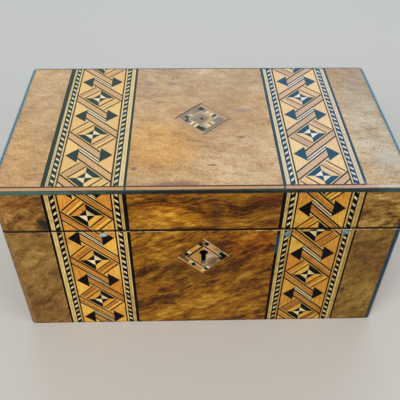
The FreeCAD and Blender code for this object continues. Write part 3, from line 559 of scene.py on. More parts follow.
def boardWood(wood, cut):
    look, grain = boardLooks[wood], boardGrain
    material = startMaterial(wood + cut)
    plain = objectSpace()
    stretch = [look["draw"] if axis == boardCuts[cut] else 1 for axis in range(3)]
    bent = stretched(turned(grain["turn"]), stretch)
    rings = noise(bent, *grain["rings"])
    fibre = noise(bent, *grain["fibre"])
    stain = noise(plain, *grain["stain"])
    streaks = weighted((rings, 0.8), (fibre, 0.25))
    colour = ramp(streaks, [(0.34, look["dark"]), (0.74, look["light"])])
    colour = blend(spread(stain, 0.5, 0.75, 0, 0.5), colour, look["dark"])
    if wood == "carcass":  # old glue on the faces that the veneer covers, and painted shade where the parting gap shows them
        parts = axesOf(plain)
        outX = spread(calc("ABSOLUTE", parts["X"]), glueAndGapShade["x"] - glueAndGapShade["depth"], glueAndGapShade["x"])
        outY = spread(calc("ABSOLUTE", parts["Y"]), glueAndGapShade["y"] - glueAndGapShade["depth"], glueAndGapShade["y"])
        covered = times(calc("MAXIMUM", outX, outY), glueAndGapShade["strength"])
        colour = blend(covered, colour, glueAndGapShade["colour"])
        colour = keyholeShadeAndGlint(plain, colour)
    normal = dent(weighted((rings, 0.4), (fibre, 0.6)), grain["depth"])
    setSurface(colour, sheen(stain, *look["rough"]), normal)
    return material


boards = {wood + cut: boardWood(wood, cut) for wood in boardLooks for cut in boardCuts}


# Metals, bone, foil and lining paper

metalLooks = {
    "agedBrass": {"bright": paint(196, 152, 78), "tarnish": paint(92, 66, 30), "rough": (0.26, 0.5)},
    "filedSteel": {"bright": paint(150, 154, 160), "tarnish": paint(66, 58, 54), "rough": (0.28, 0.55)},
    "teaFoil": {"bright": paint(164, 162, 158), "tarnish": paint(98, 94, 88), "rough": (0.36, 0.6)},
}
metalGrain = {
    "cloud": (210, 5, 0.65), "turn": (8, 5, 14), "draw": (0.06, 1, 1),
    "scratch": (2400, 2), "scratchDepth": 0.015 * mm, "creases": 130.0, "creaseDepth": 0.6 * mm,
}
softLooks = {  # a broad stain and fine lines or pulp, with their shares in the relief
    "turnedBone": {
        "polish": {"Coat_Weight": 0.25, "Coat_Roughness": 0.15}, "rough": (0.42, 0.26),
        "broad": (260, 4), "colours": shades((0.36, 0.62), (196, 166, 112), (236, 222, 188)),
        "draw": (1, 1, 0.12), "fine": (900, 3), "edge": (0.56, 0.7, 0, 0.5), "fineColour": paint(128, 92, 52),
        "broadShare": 0.0, "fineShare": 1.0, "depth": 0.02 * mm,
    },
    "liningPaper": {
        "polish": {}, "rough": (0.6, 0.85), "broad": (24, 4),
        "colours": shades((0.34, 0.52, 0.7), (62, 10, 14), (104, 22, 26), (132, 48, 42)),
        "draw": (1, 1, 1), "fine": (1100, 3), "edge": (0.6, 0.75, 0, 0.4), "fineColour": paint(164, 96, 76),
        "broadShare": 0.8, "fineShare": 0.2, "depth": 0.3 * mm,
    },
}


def metal(name):
    look, grain = metalLooks[name], metalGrain
    material = startMaterial(name, Metallic=1.0)
    plain = objectSpace()
    cloud = noise(plain, *grain["cloud"])
    scratch = noise(stretched(turned(grain["turn"]), grain["draw"]), *grain["scratch"])
    tarnish = spread(weighted((cloud, 0.85), (scratch, 0.15)), 0.42, 0.66)
    colour = keyholeShadeAndGlint(plain, blend(tarnish, look["bright"], look["tarnish"]))
    normal = dent(scratch, grain["scratchDepth"])
    if name == "teaFoil":
        inputs = {"Vector": plain, "Scale": grain["creases"]}
        creases = addNode("TexVoronoi", inputs, feature="DISTANCE_TO_EDGE").outputs["Distance"]
        folds = weighted((spread(creases, 0, 0.16), 0.5), (cloud, 0.8))
        normal = dent(folds, grain["creaseDepth"])
    setSurface(colour, sheen(cloud, *look["rough"]), normal)
    return material


def softFinish(name):
    look = softLooks[name]
    material = startMaterial(name, **look["polish"])
    plain = objectSpace()
    broad = noise(plain, *look["broad"])
    fine = noise(stretched(plain, look["draw"]), *look["fine"])
    colour = blend(spread(fine, *look["edge"]), ramp(broad, look["colours"]), look["fineColour"])
    relief = weighted((fine, look["fineShare"]), (broad, look["broadShare"]))
    setSurface(colour, sheen(broad, *look["rough"]), dent(relief, look["depth"]))
    return material


brass, steel, foil = (metal(name) for name in metalLooks)
bone, paper = (softFinish(name) for name in softLooks)
print("boards, metals, bone and paper ready")


# Mesh helpers

meshing = {
    "weld": 0.002 * mm, "flat": math.radians(1), "smooth": math.radians(32), "sharp": math.radians(40),
}


def copyNode(node):  # the solid's own mesh, with its loose triangles joined into faces
    bm = bmesh.new()
    bm.from_mesh(nodes[node].data)
    bmesh.ops.remove_doubles(bm, verts=bm.verts, dist=meshing["weld"])
    bmesh.ops.dissolve_limit(bm, angle_limit=meshing["flat"], verts=bm.verts, edges=bm.edges)
    return bm


def soften(bm, picked, width, segments=2):
    bmesh.ops.bevel(bm, geom=picked, offset=width, offset_type="OFFSET", segments=segments, profile=0.5,
                    affect="EDGES", clamp_overlap=True, material=-1)


def sharpEdges(bm):
    return [edge for edge in bm.edges if edge.is_manifold and edge.calc_face_angle(0) > meshing["sharp"]]


def addBlock(bm, low, high):
    low, high = Vector(low), Vector(high)
    place = Matrix.Translation((low + high) / 2) @ Matrix.Diagonal((high - low).to_4d())
    verts = bmesh.ops.create_cube(bm, size=1, matrix=place)["verts"]
    edges = dict.fromkeys(edge for vert in verts for edge in vert.link_edges)
    faces = dict.fromkeys(face for vert in verts for face in vert.link_faces)
    return [*verts, *edges, *faces]


def onlyType(geom, kind):
    return [part for part in geom if isinstance(part, kind)]


def trim(bm, geom, planes, near=1e-4):  # saws off what lies past each plane and closes the cut
    for point, normal in planes:
        sawn = bmesh.ops.bisect_plane(
            bm, geom=geom, dist=near, plane_co=point, plane_no=normal, clear_outer=True)
        geom = sawn["geom"]
        rim = [edge for edge in onlyType(sawn["geom_cut"], bmesh.types.BMEdge) if edge.is_boundary]
        if len(rim) > 2:
            geom += bmesh.ops.edgeloop_fill(bm, edges=rim)["faces"]
    return geom


def score(bm, point, normal, near=1e-7):  # draws edges where a plane meets the faces
    whole = [*bm.verts, *bm.edges, *bm.faces]
    bmesh.ops.bisect_plane(bm, geom=whole, dist=near, plane_co=point, plane_no=normal)


def toMesh(name, bm):
    mesh = bpy.data.meshes.new(name)
    bm.to_mesh(mesh)
    bm.free()
    return mesh


def pourInto(bm, loose):
    scrap = toMesh("scrap", loose)
    bm.from_mesh(scrap)
    bpy.data.meshes.remove(scrap)


def addObject(name, data):
    made = bpy.data.objects.new(name, data)
    bpy.context.scene.collection.objects.link(made)
    return made


def mapGrain(bm, axis):  # grain map for a strip, along one axis
    layer = bm.loops.layers.uv.new("grain")
    for face in bm.faces:
        for loop in face.loops:
            place = loop.vert.co / (grainUnit * mm)
            loop[layer].uv = (place[axis], place[axis - 1] + place[axis - 2])


def finishPiece(node, ending, bm, *finishes):
    mesh = toMesh(node + ending, bm)
    for finish in finishes:
        mesh.materials.append(finish)
    mesh.shade_smooth()
    mesh.set_sharp_from_angle(angle=meshing["smooth"])
    piece = addObject(node + ending, mesh)
    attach(piece, nodeBody[node])
    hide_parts(node)
    return piece


# Parquetry bands, cut tile by tile. Sizes here are millimetres, u across the band and v along it.


def strips(text):  # wood and width of each strip, in order
    return [(wood, float(width)) for wood, width in map(str.split, text.split(","))]


band = {
    "field": 28.2, "star": 6.6, "heart": 3.3, "stripWidth": 6.0,
    "triangleSide": 6.2, "triangleSlope": 0.9, "tipGap": 0.7,
    "thick": 1.0, "glueLine": 0.03, "sink": 0.02, "tilt": 0.004, "grainShift": 90,
    "borders": strips("rosewood 0.85, boxwood 0.95, ebony 0.3, rope 2, ebony 0.65"),
    "outerLines": 3.95, "paleLine": 0.2,
    "longStrip": strips("boxwood 0.55, rosewood 1.05, satinwood 0.5, tulipwood 1, satinwood 0.4, "
                        "tulipwood 1, boxwood 0.5, rosewood 1"),
    "shortStrip": strips("rosewood 0.9, satinwood 0.4, either 1.4, tulipwood 0.6, either 1.4, "
                         "satinwood 0.4, rosewood 0.9"),
    "creamStrip": strips("holly 0.8, rosewood 0.55, holly 0.8"),
    "either": ["tulipwood", "satinwood", "satinwood"],
    "ropePitch": 4.8, "ropeDark": 3.1, "ropeLean": 0.95, "ropeJitter": 0.25,
}
# First star below the top or from the back edge, pitch, hand, lean of each rope, dark outer lines
bandStars = {
    "lid_top_band_left": {"first": 38.6, "pitch": 39.2, "hand": 1, "leans": (-1, 1), "outer": (2.5, 1.5)},
    "lid_top_band_right": {"first": 38.6, "pitch": 39.2, "hand": -1, "leans": (1, -1), "outer": (1.8, 1.5)},
    "lid_front_band_left": {"first": 19, "pitch": 38.1, "hand": 1, "leans": (1, -1), "outer": (1.6, 2.3)},
    "lid_front_band_right": {"first": 34.8, "pitch": 38.8, "hand": 1, "leans": (1, -1), "outer": (2.1, 1.1)},
    "base_front_band_left": {"first": 18.2, "pitch": 38.1, "hand": 1, "leans": (1, -1), "outer": (1.3, 1.9)},
    "base_front_band_right": {"first": 33.4, "pitch": 38.8, "hand": 1, "leans": (1, -1), "outer": (1.8, 1.1)},
}
partingLine = {"gap": 0.9 * mm, "arris": 0.25 * mm}
diagonal = math.sqrt(0.5)
rising, falling = (diagonal, diagonal), (diagonal, -diagonal)
onTop = Matrix.Identity(4)
onFront = Matrix(((1, 0, 0, 0), (0, 0, -1, 0), (0, 1, 0, 0), (0, 0, 0, 1)))


def between(a, b, low, high):  # half planes a*u + b*v <= c, two to a span
    return [(a, b, high), (-a, -b, -low)]


uSpan, vSpan = partial(between, 1, 0), partial(between, 0, 1)
risingSpan, fallingSpan = partial(between, *rising), partial(between, *falling)


def mirrored(span, sign, low, high):  # a span, or its mirror image for sign -1
    return span(*sorted((sign * low, sign * high)))


def laminae(strip, low, high):  # a laminated strip shared out between two places
    scale = (high - low) / sum(width for wood, width in strip)
    for wood, width in strip:
        yield wood, low, low + width * scale
        low += width * scale


def fieldTiles(pitch):  # one repeat with its star at the origin: wood, grain direction, half planes
    far = 500  # past the end of any band
    star, heart = band["star"], band["heart"]
    strip = star + band["stripWidth"]
    edge = band["field"] / 2
    inner = band["triangleSide"]
    nextStrip = pitch * diagonal - strip
    middle = -pitch / 2
    quarters = [
        (risingSpan, 1, uSpan(0, far) + vSpan(0, far), falling, "holly", "ebony"),
        (risingSpan, -1, uSpan(-far, 0) + vSpan(-far, 0), falling, "holly", "ebony"),
        (fallingSpan, 1, uSpan(0, far) + vSpan(-far, 0), rising, "ebony", "satinwood"),
        (fallingSpan, -1, uSpan(-far, 0) + vSpan(0, far), rising, "ebony", "satinwood"),
    ]
    for span, sign, quarter, grain, heartWood, starWood in quarters:
        for wood, low, high in ((heartWood, 0, heart), (starWood, heart, star)):
            yield wood, grain, quarter + mirrored(span, sign, low, high)
    for sign in (1, -1):
        reach = mirrored(uSpan, sign, -inner, edge)
        for wood, low, high in laminae(band["longStrip"], star, strip):
            yield wood, falling, reach + mirrored(risingSpan, sign, low, high)
        for wood, low, high in laminae(band["shortStrip"], star, strip):
            yield wood, rising, risingSpan(-star, star) + mirrored(fallingSpan, sign, low, high)
    for wood, low, high in laminae(band["creamStrip"], -nextStrip, -strip):
        yield wood, falling, risingSpan(low, high) + uSpan(-inner, inner)
    yield "satinwood", (0, 1), fallingSpan(strip, far) + risingSpan(-star, far) + uSpan(-far, inner)
    yield "satinwood", (0, 1), fallingSpan(-far, -strip) + risingSpan(-far, star) + uSpan(-inner, far)
    left, right = uSpan(-edge, -inner), uSpan(inner, edge)
    above, below = vSpan(middle, far), vSpan(-far, middle)
    slope = band["triangleSlope"]
    rise = slope * (edge - band["tipGap"])
    yield "ebony", (0, 1), left + [(-slope, 1, middle + rise), (-slope, -1, rise - middle)]
    yield "ebony", (0, 1), right + [(slope, 1, middle + rise), (slope, -1, rise - middle)]
    yield "satinwood", (0, 1), left + above + risingSpan(-far, -strip) + [(slope, -1, -middle - rise)]
    corner = fallingSpan(strip, far) + risingSpan(-far, star)
    yield "satinwood", (0, 1), right + above + corner + [(-slope, -1, -middle - rise)]
    corner = [(-1, -1, pitch + star / diagonal), (1, -1, pitch - strip / diagonal)]
    yield "satinwood", (0, 1), left + below + corner + [(slope, 1, middle - rise)]
    corner = [(-1, -1, pitch - strip / diagonal)]
    yield "satinwood", (0, 1), right + below + [(-slope, 1, middle - rise)] + corner


def startTiles():
    bm = bmesh.new()
    return bm, bm.loops.layers.uv.new("grain"), bm.faces.layers.float.new("tone")


def cutTile(tiles, wood, grain, sheet, limits, extraPlanes=()):
    bm, grainLayer, toneLayer = tiles
    u0, u1, v0, v1 = sheet
    planes = []
    for a, b, c in limits:
        size = math.hypot(a, b)
        inside = c / size - band["glueLine"]
        planes.append(((a / size * inside, b / size * inside, 0), (a, b, 0)))
    geom = trim(bm, addBlock(bm, (u0, v0, -band["thick"]), (u1, v1, 0)), [*planes, *extraPlanes])
    faces = onlyType(geom, bmesh.types.BMFace)
    if not faces:
        return
    tone = dice.uniform(-1, 1)
    offset = Vector((dice.uniform(0, band["grainShift"]), dice.uniform(0, band["grainShift"])))
    along = Vector(grain).normalized() / grainUnit
    across = along.orthogonal()
    for face in faces:
        face.material_index = woodIndex[wood]
        face[toneLayer] = tone
        for loop in face.loops:
            place = loop.vert.co.to_2d()
            loop[grainLayer].uv = offset + Vector((place.dot(along), place.dot(across)))
    sink = dice.uniform(0, band["sink"])  # each tile has moved a little in its glue
    tiltU = dice.uniform(-1, 1) * band["tilt"]
    tiltV = dice.uniform(-1, 1) * band["tilt"]
    top = [vert for vert in onlyType(geom, bmesh.types.BMVert) if vert.co.z > -0.5 * band["thick"]]
    middle = sum((vert.co for vert in top), Vector()) / len(top)
    drops = [tiltU * (vert.co.x - middle.x) + tiltV * (vert.co.y - middle.y) for vert in top]
    for vert, drop in zip(top, drops):
        vert.co.z -= sink + drop - min(drops)


def cutRope(tiles, sheet, lean, extraPlanes):
    u0, u1, low, high = sheet
    slope = lean * band["ropeLean"]
    slant = slope * (u0 + u1) / 2
    pitch, dark, jitter = band["ropePitch"], band["ropeDark"], band["ropeJitter"]
    v = low - 2 * pitch
    while v < high + pitch:
        for wood, start, end in (("ebony", v, v + dark), ("holly", v + dark, v + pitch)):
            leaning = [(-slope, 1, end - slant), (slope, -1, slant - start)]
            cutTile(tiles, wood, (slope, 1), sheet, uSpan(u0, u1) + leaning, extraPlanes)
        v += pitch + dice.uniform(-jitter, jitter)


def cutBorders(tiles, low, high, stars, extraPlanes):
    for side, lean, outer in zip((-1, 1), stars["leans"], stars["outer"]):
        edge = band["field"] / 2
        pale = (band["outerLines"] - outer - band["paleLine"]) / 2
        outerLines = [("boxwood", pale), ("straw", band["paleLine"]), ("boxwood", pale), ("ebony", outer)]
        for wood, width in band["borders"] + outerLines:
            u0, u1 = sorted((side * edge, side * (edge + width)))
            edge += width
            sheet = (u0, u1, low, high)
            if wood == "rope":
                cutRope(tiles, sheet, lean, extraPlanes)
            else:
                cutTile(tiles, wood, (0, 1), sheet, uSpan(u0, u1), extraPlanes)
    return edge


def setTiles(tiles, centre, axes):  # from millimetres on the flat to their place on the box
    bm = tiles[0]
    place = Matrix.Translation(centre) @ axes @ Matrix.Scale(mm, 4)
    bmesh.ops.transform(bm, matrix=place, verts=bm.verts)
    return bm


def dressBand(node):
    stars = bandStars[node]
    low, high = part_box(node)
    flat = "top" in node
    middle = (low.x + high.x) / 2
    centre = Vector((middle, 0, boxTop)) if flat else Vector((middle, frontFace, 0))
    v0, v1 = (low.y, high.y) if flat else (low.z, high.z)
    first = (backEdge if flat else boxTop) / mm - stars["first"]
    extraPlanes = []
    if node.startswith("lid_front"):
        v0 += partingLine["gap"]
    if node.startswith("base_front"):  # the worn arris along the parting line
        extraPlanes.append(((0, v1 / mm - partingLine["arris"] / mm, 0), (0, 1, 1)))
    v0, v1 = v0 / mm, v1 / mm
    tiles = startTiles()
    edge = cutBorders(tiles, v0, v1, stars, extraPlanes)
    sheet = (-edge, edge, v0, v1)
    hand, pitch = stars["hand"], stars["pitch"]
    for repeat in range(-1, math.ceil((first - v0) / pitch) + 1):
        star = first - repeat * pitch
        for wood, grain, limits in fieldTiles(pitch):
            placed = [(hand * a, b, c + b * star) for a, b, c in limits]
            if wood == "either":
                wood = dice.choice(band["either"])
            cutTile(tiles, wood, (hand * grain[0], grain[1]), sheet, placed, extraPlanes)
    bm = setTiles(tiles, centre, onTop if flat else onFront)
    return finishPiece(node, "_tiles", bm, *inlayFinishes)


bandPieces = [dressBand(node) for node in bandStars]
print("bands cut:", sum(len(piece.data.polygons) for piece in bandPieces), "faces")


# Lozenges: frames and rings of strips laid from the outside in, sizes in millimetres.
# A layer has a width and the woods of its sides, or the woods of its corners and then each side's strips.
# Sides go upper right, lower left, lower right, upper left. Corners go right, top, bottom, left.

lozenge = {
    "half": 12.4,
    "fromBack": 62.0,
    "layers": [
        (0.7, "olive pearwood rosewood rosewood"),
        (0.5, "paleWalnut paleWalnut greyHolly mauve"),
        (2.0, "paleWalnut paleWalnut mauve mauve"),
        (
            3.2, "mauve ebony ebony mauve",
            "mauve 3, holly 2.4, pearwood 1.2, holly 2.6, ebony 2.2, greyHolly 2",
            "ebony 1.6, mauve 2.4, holly 2.4, olive 1.2, holly 2.2, ebony 2.6",
            "mauve 1.2, greyHolly 2, boxwood 2.6, rosewood 1, boxwood 2.6, mauve 3.6",
            "ebony 1.6, mauve 1.4, greyHolly 2.2, pearwood 1.4, mauve 2.4, mauve 3.6",
        ),
        (0.6, "greyHolly boxwood greyHolly boxwood"),
        (1.2, "paleWalnut mauve paleWalnut mauve"),
        (0.5, "boxwood greyHolly boxwood greyHolly"),
        (0.8, "olive olive mauve mauve"),
        (1.8, "mauve mauve mauve mauve"),
    ],
    "heart": "rosewood",
}
escutcheon = {
    "half": 11.0,
    "drop": 54.3,
    "layers": [
        (0.65, "holly holly olive rosewood"),
        (0.3, "rosewood rosewood olive mauve"),
        (
            2.45, "ebony olive boxwood olive",
            "ebony 2.3, paleWalnut 2.2, satinwood 2.6, pearwood 2.6, greyHolly 2.2, ebony 2.85",
            "olive 4.2, boxwood 2.6, ebony 2.5, pearwood 2.9, straw 3",
            "ebony 1.8, greyHolly 1.7, mauve 2, olive 2.2, mauve 2, paleWalnut 2.8, ebony 2.7",
            "olive 1, ebony 2.3, holly 1.9, satinwood 4.2, boxwood 3.2, ebony 2.5",
        ),
        (0.4, "holly holly mauve pearwood"),
        (0.85, "rosewood rosewood mauve rosewood"),
        (0.35, "boxwood boxwood greyHolly mauve"),
    ],
    "halves": ("straw", "paleWalnut"),
    "slack": 0.02 * mm,
}
lozengeSides = [
    (risingSpan, fallingSpan, 1, falling),
    (risingSpan, fallingSpan, -1, falling),
    (fallingSpan, risingSpan, 1, rising),
    (fallingSpan, risingSpan, -1, rising),
]
lozengeCorners = ((1, 1), (1, -1), (-1, 1), (-1, -1))


def lozengeTiles(look):
    outer = look["half"]
    for width, woods, *sides in look["layers"]:
        inner = outer - width
        for number, (span, alongSpan, sign, grain) in enumerate(lozengeSides):
            across = mirrored(span, sign, inner, outer)
            if sides:
                for wood, low, high in laminae(strips(sides[number]), -inner, inner):
                    yield wood, grain, across + alongSpan(low, high)
            else:
                reach = outer if number < 2 else inner
                yield woods.split()[number], grain, across + alongSpan(-reach, reach)
        for wood, (sign, other) in zip(woods.split() if sides else (), lozengeCorners):
            square = mirrored(risingSpan, sign, inner, outer) + mirrored(fallingSpan, other, inner, outer)
            yield wood, (0, 1), square
        outer = inner
    if "heart" in look:
        yield look["heart"], (1, 0), risingSpan(-outer, outer) + fallingSpan(-outer, outer)


def cutLozenge(look, centre, axes):
    tiles = startTiles()
    reach = 2 * look["half"]
    for wood, grain, limits in lozengeTiles(look):
        cutTile(tiles, wood, grain, (-reach, reach, -reach, reach), limits)
    return setTiles(tiles, centre, axes)


def dressLozenge():
    centre = Vector((0, backEdge - lozenge["fromBack"] * mm, boxTop))
    finishPiece("lid_lozenge", "_tiles", cutLozenge(lozenge, centre, onTop), *inlayFinishes)


def dressEscutcheon():
    centre = Vector((0, frontFace, boxTop - escutcheon["drop"] * mm))
    bm = cutLozenge(escutcheon, centre, onFront)
    middle = copyNode("keyhole_escutcheon")  # the solid has the keyhole sawn through its middle
    field = (escutcheon["half"] - sum(layer[0] for layer in escutcheon["layers"])) * mm
    outer = []
    for face in middle.faces:
        place = face.calc_center_median() - centre
        if abs(place.x) + abs(place.z) > field / diagonal + escutcheon["slack"]:
            outer.append(face)
    bmesh.ops.delete(middle, geom=outer, context="FACES")
    score(middle, (0, 0, 0), (1, 0, 0))
    mapGrain(middle, 2)
    for face in middle.faces:
        face.material_index = woodIndex[escutcheon["halves"][face.calc_center_median().x > 0]]
    pourInto(bm, middle)
    finishPiece("keyhole_escutcheon", "_tiles", bm, *inlayFinishes)


dressLozenge()
dressEscutcheon()
print("lozenges set")


# Veneer sheets and strings keep their solids' shapes, with a gap under the lid and a worn arris on the rim

sheetFinishes = {
    "base_front_veneer": "front",
    "lid_front_veneer": "lid",
    "left_veneer": "side",
    "right_veneer": "side",
}
strings = {  # wood, the axis it runs along, and the wood of a brown left front corner
    "base_corner_strings": ("blueEbony", 2, "wornEbony"),
    "lid_corner_strings": ("blueEbony", 2, "wornEbony"),
    "lid_edge_strings": ("blueEbony", 1),
    "lid_front_string": ("greenEbony", 0),
    "lid_front_line": ("rosewood", 0),
}
arrisStrip = {"woods": ("pearwood", "blueEbony"), "line": 1.2 * mm}


def openSeam(bm, node):
    if nodeBody[node] == "lid":
        for vert in bm.verts:
            if abs(vert.co.z - seam) < same:
                vert.co.z += partingLine["gap"]
        return
    rim = []
    for edge in bm.edges:
        start, end = (vert.co for vert in edge.verts)
        outX = min(abs(start.x), abs(end.x)) > cadBox[1].x - same
        outY = max(start.y, end.y) < cadBox[0].y + same
        if min(start.z, end.z) > seam - same and (outX or outY):
            rim.append(edge)
    soften(bm, rim, partingLine["arris"], 3)


def woodList(*names):
    return [inlayFinishes[woodIndex[name]] for name in names]


def dressString(node, wood, axis, *cornerWood):
    bm = copyNode(node)
    if "corner" in node:
        openSeam(bm, node)
    mapGrain(bm, axis)
    if cornerWood:  # the left front corner is brown
        for face in bm.faces:
            place = face.calc_center_median()
            face.material_index = int(place.x < 0 and place.y < 0)
    finishPiece(node, "_polished", bm, *woodList(wood, *cornerWood))


def dressArris():  # the dark outer lines of the bands run on across the pale strip
    bm = copyNode("lid_front_arris")
    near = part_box("lid_front_band_right")[0].x
    far = near + arrisStrip["line"]
    for side in (-1, 1):
        for place in (near, far):
            score(bm, (side * place, 0, 0), (1, 0, 0))
    mapGrain(bm, 0)
    for face in bm.faces:
        face.material_index = int(near < abs(face.calc_center_median().x) < far)
    finishPiece("lid_front_arris", "_polished", bm, *woodList(*arrisStrip["woods"]))


for node in nodes:
    for words, finish in sheetFinishes.items():
        if words in node:
            bm = copyNode(node)
            openSeam(bm, node)
            outerSheet = finish != "side" and not node.endswith("centre")
            finishPiece(node, "_sheet", bm, walnuts[finish + "Ends" if outerSheet else finish])
for node, look in strings.items():
    dressString(node, *look)
dressArris()
print("sheets and strings laid")


# Hinges, lock and link plate: eased edges, slotted screws

hardware = {  # metal, and the width of its eased edges in millimetres
    "lower_hinge_leaves": (brass, 0.15),
    "upper_hinge_leaves": (brass, 0.15),
    "hinge_pins": (steel, 0.2),
    "lock_case": (brass, 0.15),
    "lock_cap": (brass, 0.1),
    "lock_link_plate": (brass, 0.15),
    "lock_bolt": (steel, 0.15),
    "lock_spring": (steel, 0.05),
    "lock_drill_pin": (steel, 0.15),
}
screw = {
    "head": 1.6 * mm, "neck": 0.9 * mm, "tip": 0.4, "sides": 24, "shankSides": 12,
    "slotWidth": 0.5 * mm, "slotDepth": 0.45 * mm,
}
screwSets = {  # what the heads are let into, in millimetres, and which way each head faces
    "lower_hinge_screws": {"thick": 1.2, "facing": (0, 0, 1)},
    "upper_hinge_screws": {"thick": 1.2, "facing": (0, 0, -1)},
    "lock_screws": {"thick": 1.5, "facing": (0, 1, 0)},
    "link_plate_screws": {"thick": 1.4, "facing": (0, 0, -1)},
}


def islands(bm):  # the loose solids of a mesh, as lists of vertices
    left = dict.fromkeys(bm.verts)
    while left:
        queue = [next(iter(left))]
        found = {}
        while queue:
            vert = queue.pop()
            if vert in left:
                del left[vert]
                found[vert] = None
                queue += [edge.other_vert(vert) for edge in vert.link_edges]
        yield list(found)


def addCone(bm, sides, foot, top, depth, middle):
    bmesh.ops.create_cone(bm, cap_ends=True, segments=sides, radius1=foot, radius2=top, depth=depth,
                          matrix=Matrix.Translation((0, 0, middle)))


def addScrew(bm, head, facing, thick, length):
    made = bmesh.new()
    neck, slotWidth = screw["neck"], screw["slotWidth"]
    addCone(made, screw["sides"], neck, screw["head"], thick, -thick / 2)
    for side in (-1, 1):
        score(made, (0, side * slotWidth / 2, 0), (0, 1, 0))
    slot = []
    for face in made.faces:
        if face.normal.z > 0.9 and abs(face.calc_center_median().y) < slotWidth / 4:
            slot.append(face)
    sunk = bmesh.ops.extrude_face_region(made, geom=slot)["geom"]
    bmesh.ops.translate(made, vec=(0, 0, -screw["slotDepth"]), verts=onlyType(sunk, bmesh.types.BMVert))
    bmesh.ops.delete(made, geom=[face for face in slot if face.is_valid], context="FACES_ONLY")
    addCone(made, screw["shankSides"], neck * screw["tip"], neck, length - thick, -(thick + length) / 2)
    spin = Matrix.Rotation(dice.uniform(0, math.pi), 4, "Z")
    aim = Vector(facing).to_track_quat("Z", "Y").to_matrix().to_4x4()
    bmesh.ops.transform(made, matrix=Matrix.Translation(head) @ aim @ spin, verts=made.verts)
    pourInto(bm, made)


for node, (finish, width) in hardware.items():
    bm = copyNode(node)
    soften(bm, sharpEdges(bm), width * mm)
    finishPiece(node, "_eased", bm, finish)
for node, look in screwSets.items():
    solid = copyNode(node)
    facing = Vector(look["facing"])
    bm = bmesh.new()
    for verts in islands(solid):
        reach = [vert.co.dot(facing) for vert in verts]
        rim = [vert.co for vert in verts if vert.co.dot(facing) > max(reach) - same]
        head = sum(rim, Vector()) / len(rim)
        addScrew(bm, head, facing, look["thick"] * mm, max(reach) - min(reach))
    solid.free()
    finishPiece(node, "_slotted", bm, brass)
print("hinges, lock and screws fitted")


# Inner lids with a thumb-moulded edge, and their turned knobs

innerLid = {"mould": 1.6 * mm, "segments": 5, "foot": 0.4 * mm}
knob = {  # radius and height up the turning, millimetres above the inner lid
    "profile": [
        (4.6, 0), (4.6, 0.5), (4.2, 0.8), (2.9, 1.0), (2.5, 1.6), (2.6, 2.4), (3.4, 3.4), (4.9, 4.4),
        (5.7, 4.9), (6.0, 5.4), (5.9, 5.9), (5.2, 6.5), (3.7, 7.1), (1.9, 7.45), (0, 7.55),
    ],
    "steps": 48,
}


def mouldLid(node):
    low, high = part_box(node)
    bm = bmesh.new()
    addBlock(bm, low, high)
    top = [edge for edge in bm.edges if min(vert.co.z for vert in edge.verts) > high.z - same]
    soften(bm, top, innerLid["mould"], innerLid["segments"])
    foot = [edge for edge in bm.edges if max(vert.co.z for vert in edge.verts) < low.z + same]
    soften(bm, foot, innerLid["foot"])
    finishPiece(node, "_moulded", bm, boards["mahoganyDeep"])
    return high.z


def turnKnob(node, floor):
    low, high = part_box(node)
    axis = Vector(((low.x + high.x) / 2, (low.y + high.y) / 2, floor))
    bm = bmesh.new()
    outline = [bm.verts.new((radius * mm, 0, height * mm)) for radius, height in knob["profile"]]
    edges = [bm.edges.new(pair) for pair in zip(outline, outline[1:])]
    bmesh.ops.spin(bm, geom=[*outline, *edges], cent=(0, 0, 0), axis=(0, 0, 1), angle=2 * math.pi,
                   steps=knob["steps"], use_merge=True)
    bmesh.ops.remove_doubles(bm, verts=bm.verts, dist=meshing["weld"])
    bmesh.ops.holes_fill(bm, edges=bm.edges, sides=0)
    bmesh.ops.recalc_face_normals(bm, faces=bm.faces)
    bmesh.ops.translate(bm, vec=axis, verts=bm.verts)
    finishPiece(node, "_turned", bm, bone)


for side in ("left", "right"):
    lidFace = mouldLid("inner_lid_" + side)
    turnKnob("inner_lid_knob_" + side, lidFace)
print("inner lids and knobs turned")


# Finishes for the solids that show as they are

solidFinishes = [
    (walnuts["top"], ["lid_top_veneer_left", "lid_top_veneer_centre", "lid_top_veneer_right"]),
    (walnuts["back"], ["base_back_veneer", "lid_back_veneer"]),
    (boards["carcassAcross"], ["base_front_board", "base_back_board", "bottom_board"]),
    (boards["carcassAcross"], ["lid_front_rail", "lid_back_rail", "lid_top_board"]),
    (boards["carcassDeep"], ["base_left_board", "base_right_board", "lid_left_rail", "lid_right_rail"]),
    (boards["mahoganyDeep"], ["divider"]),
    (boards["mahoganyAcross"], ["lid_ledges"]),
    (paper, ["lid_lining"]),
    (foil, ["foil_liners"]),
]
for finish, solids in solidFinishes:
    for node in solids:
        for slot in nodes[node].material_slots:
            slot.material = finish
print("solids finished:", sum(len(solids) for finish, solids in solidFinishes))


# Stage: pale floor, soft lights and the camera at the photo's angle

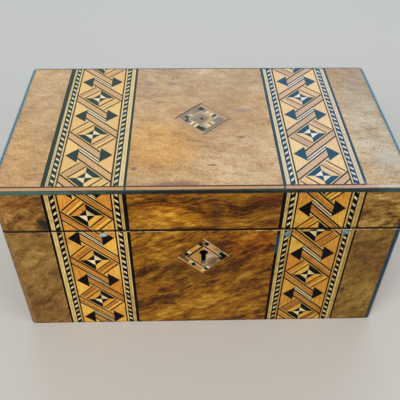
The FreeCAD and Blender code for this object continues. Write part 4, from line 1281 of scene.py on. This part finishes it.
stage = {
    "floor": 6.0, "floorColour": paint(214, 210, 204), "floorRoughness": 0.7,
    "world": (0.88, 0.94, 1.0, 1), "worldStrength": 0.35,
}
lamps = {
    "windowBehind": {
        "place": (0.1, 1.1, 0.95), "aim": (0, 0.02, 0.1), "size": (1.7, 0.9),
        "watts": 8, "tint": (0.74, 0.9, 1),
    },
    "keyFront": {
        "place": (-0.7, -0.95, 1.05), "aim": (0, 0, 0.06), "size": (0.9, 0.9),
        "watts": 13, "tint": (1, 0.96, 0.9),
    },
    "fillRight": {
        "place": (1.0, -0.7, 0.6), "aim": (0, 0, 0.06), "size": (0.8, 0.8),
        "watts": 6, "tint": (1, 0.97, 0.94),
    },
}
view = {
    "place": (-0.0105, -0.2830, 0.3176), "turn": (46.898, -0.614, -1.475),
    "lens": 50.03, "sensor": 36, "nearest": 0.01,
}


def layFloor():
    bm = bmesh.new()
    bmesh.ops.create_grid(bm, x_segments=1, y_segments=1, size=stage["floor"] / 2)
    mesh = toMesh("floor", bm)
    constants = {"Base_Color": stage["floorColour"], "Roughness": stage["floorRoughness"]}
    mesh.materials.append(startMaterial("paleFloor", **constants))
    floor = addObject("floor", mesh)
    floor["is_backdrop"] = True


def hangLamp(name, look):
    light = bpy.data.lights.new(name, "AREA")
    light.shape = "RECTANGLE"
    light.size, light.size_y = look["size"]
    light.energy = look["watts"]
    light.color = look["tint"]
    lamp = addObject(name, light)
    lamp.location = look["place"]
    aim = Vector(look["aim"]) - Vector(look["place"])
    lamp.rotation_euler = aim.to_track_quat("-Z", "Y").to_euler()


def setCamera():
    lens = bpy.data.cameras.new("camera")
    lens.lens = view["lens"]
    lens.sensor_width = view["sensor"]
    lens.clip_start = view["nearest"]
    camera = addObject("camera", lens)
    camera.location = view["place"]
    camera.rotation_euler = [math.radians(angle) for angle in view["turn"]]
    bpy.context.scene.camera = camera


layFloor()
for name, look in lamps.items():
    hangLamp(name, look)
setCamera()
world = bpy.data.worlds.new("studio")
world.use_nodes = True
sky = world.node_tree.nodes["Background"]
sky.inputs["Color"].default_value = stage["world"]
sky.inputs["Strength"].default_value = stage["worldStrength"]
bpy.context.scene.world = world
bpy.context.scene.view_settings.view_transform = "Standard"
print("stage set")

boxes = {"cad": cadBox, "visual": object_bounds()}
{name: [list(corner) for corner in box] for name, box in boxes.items()}
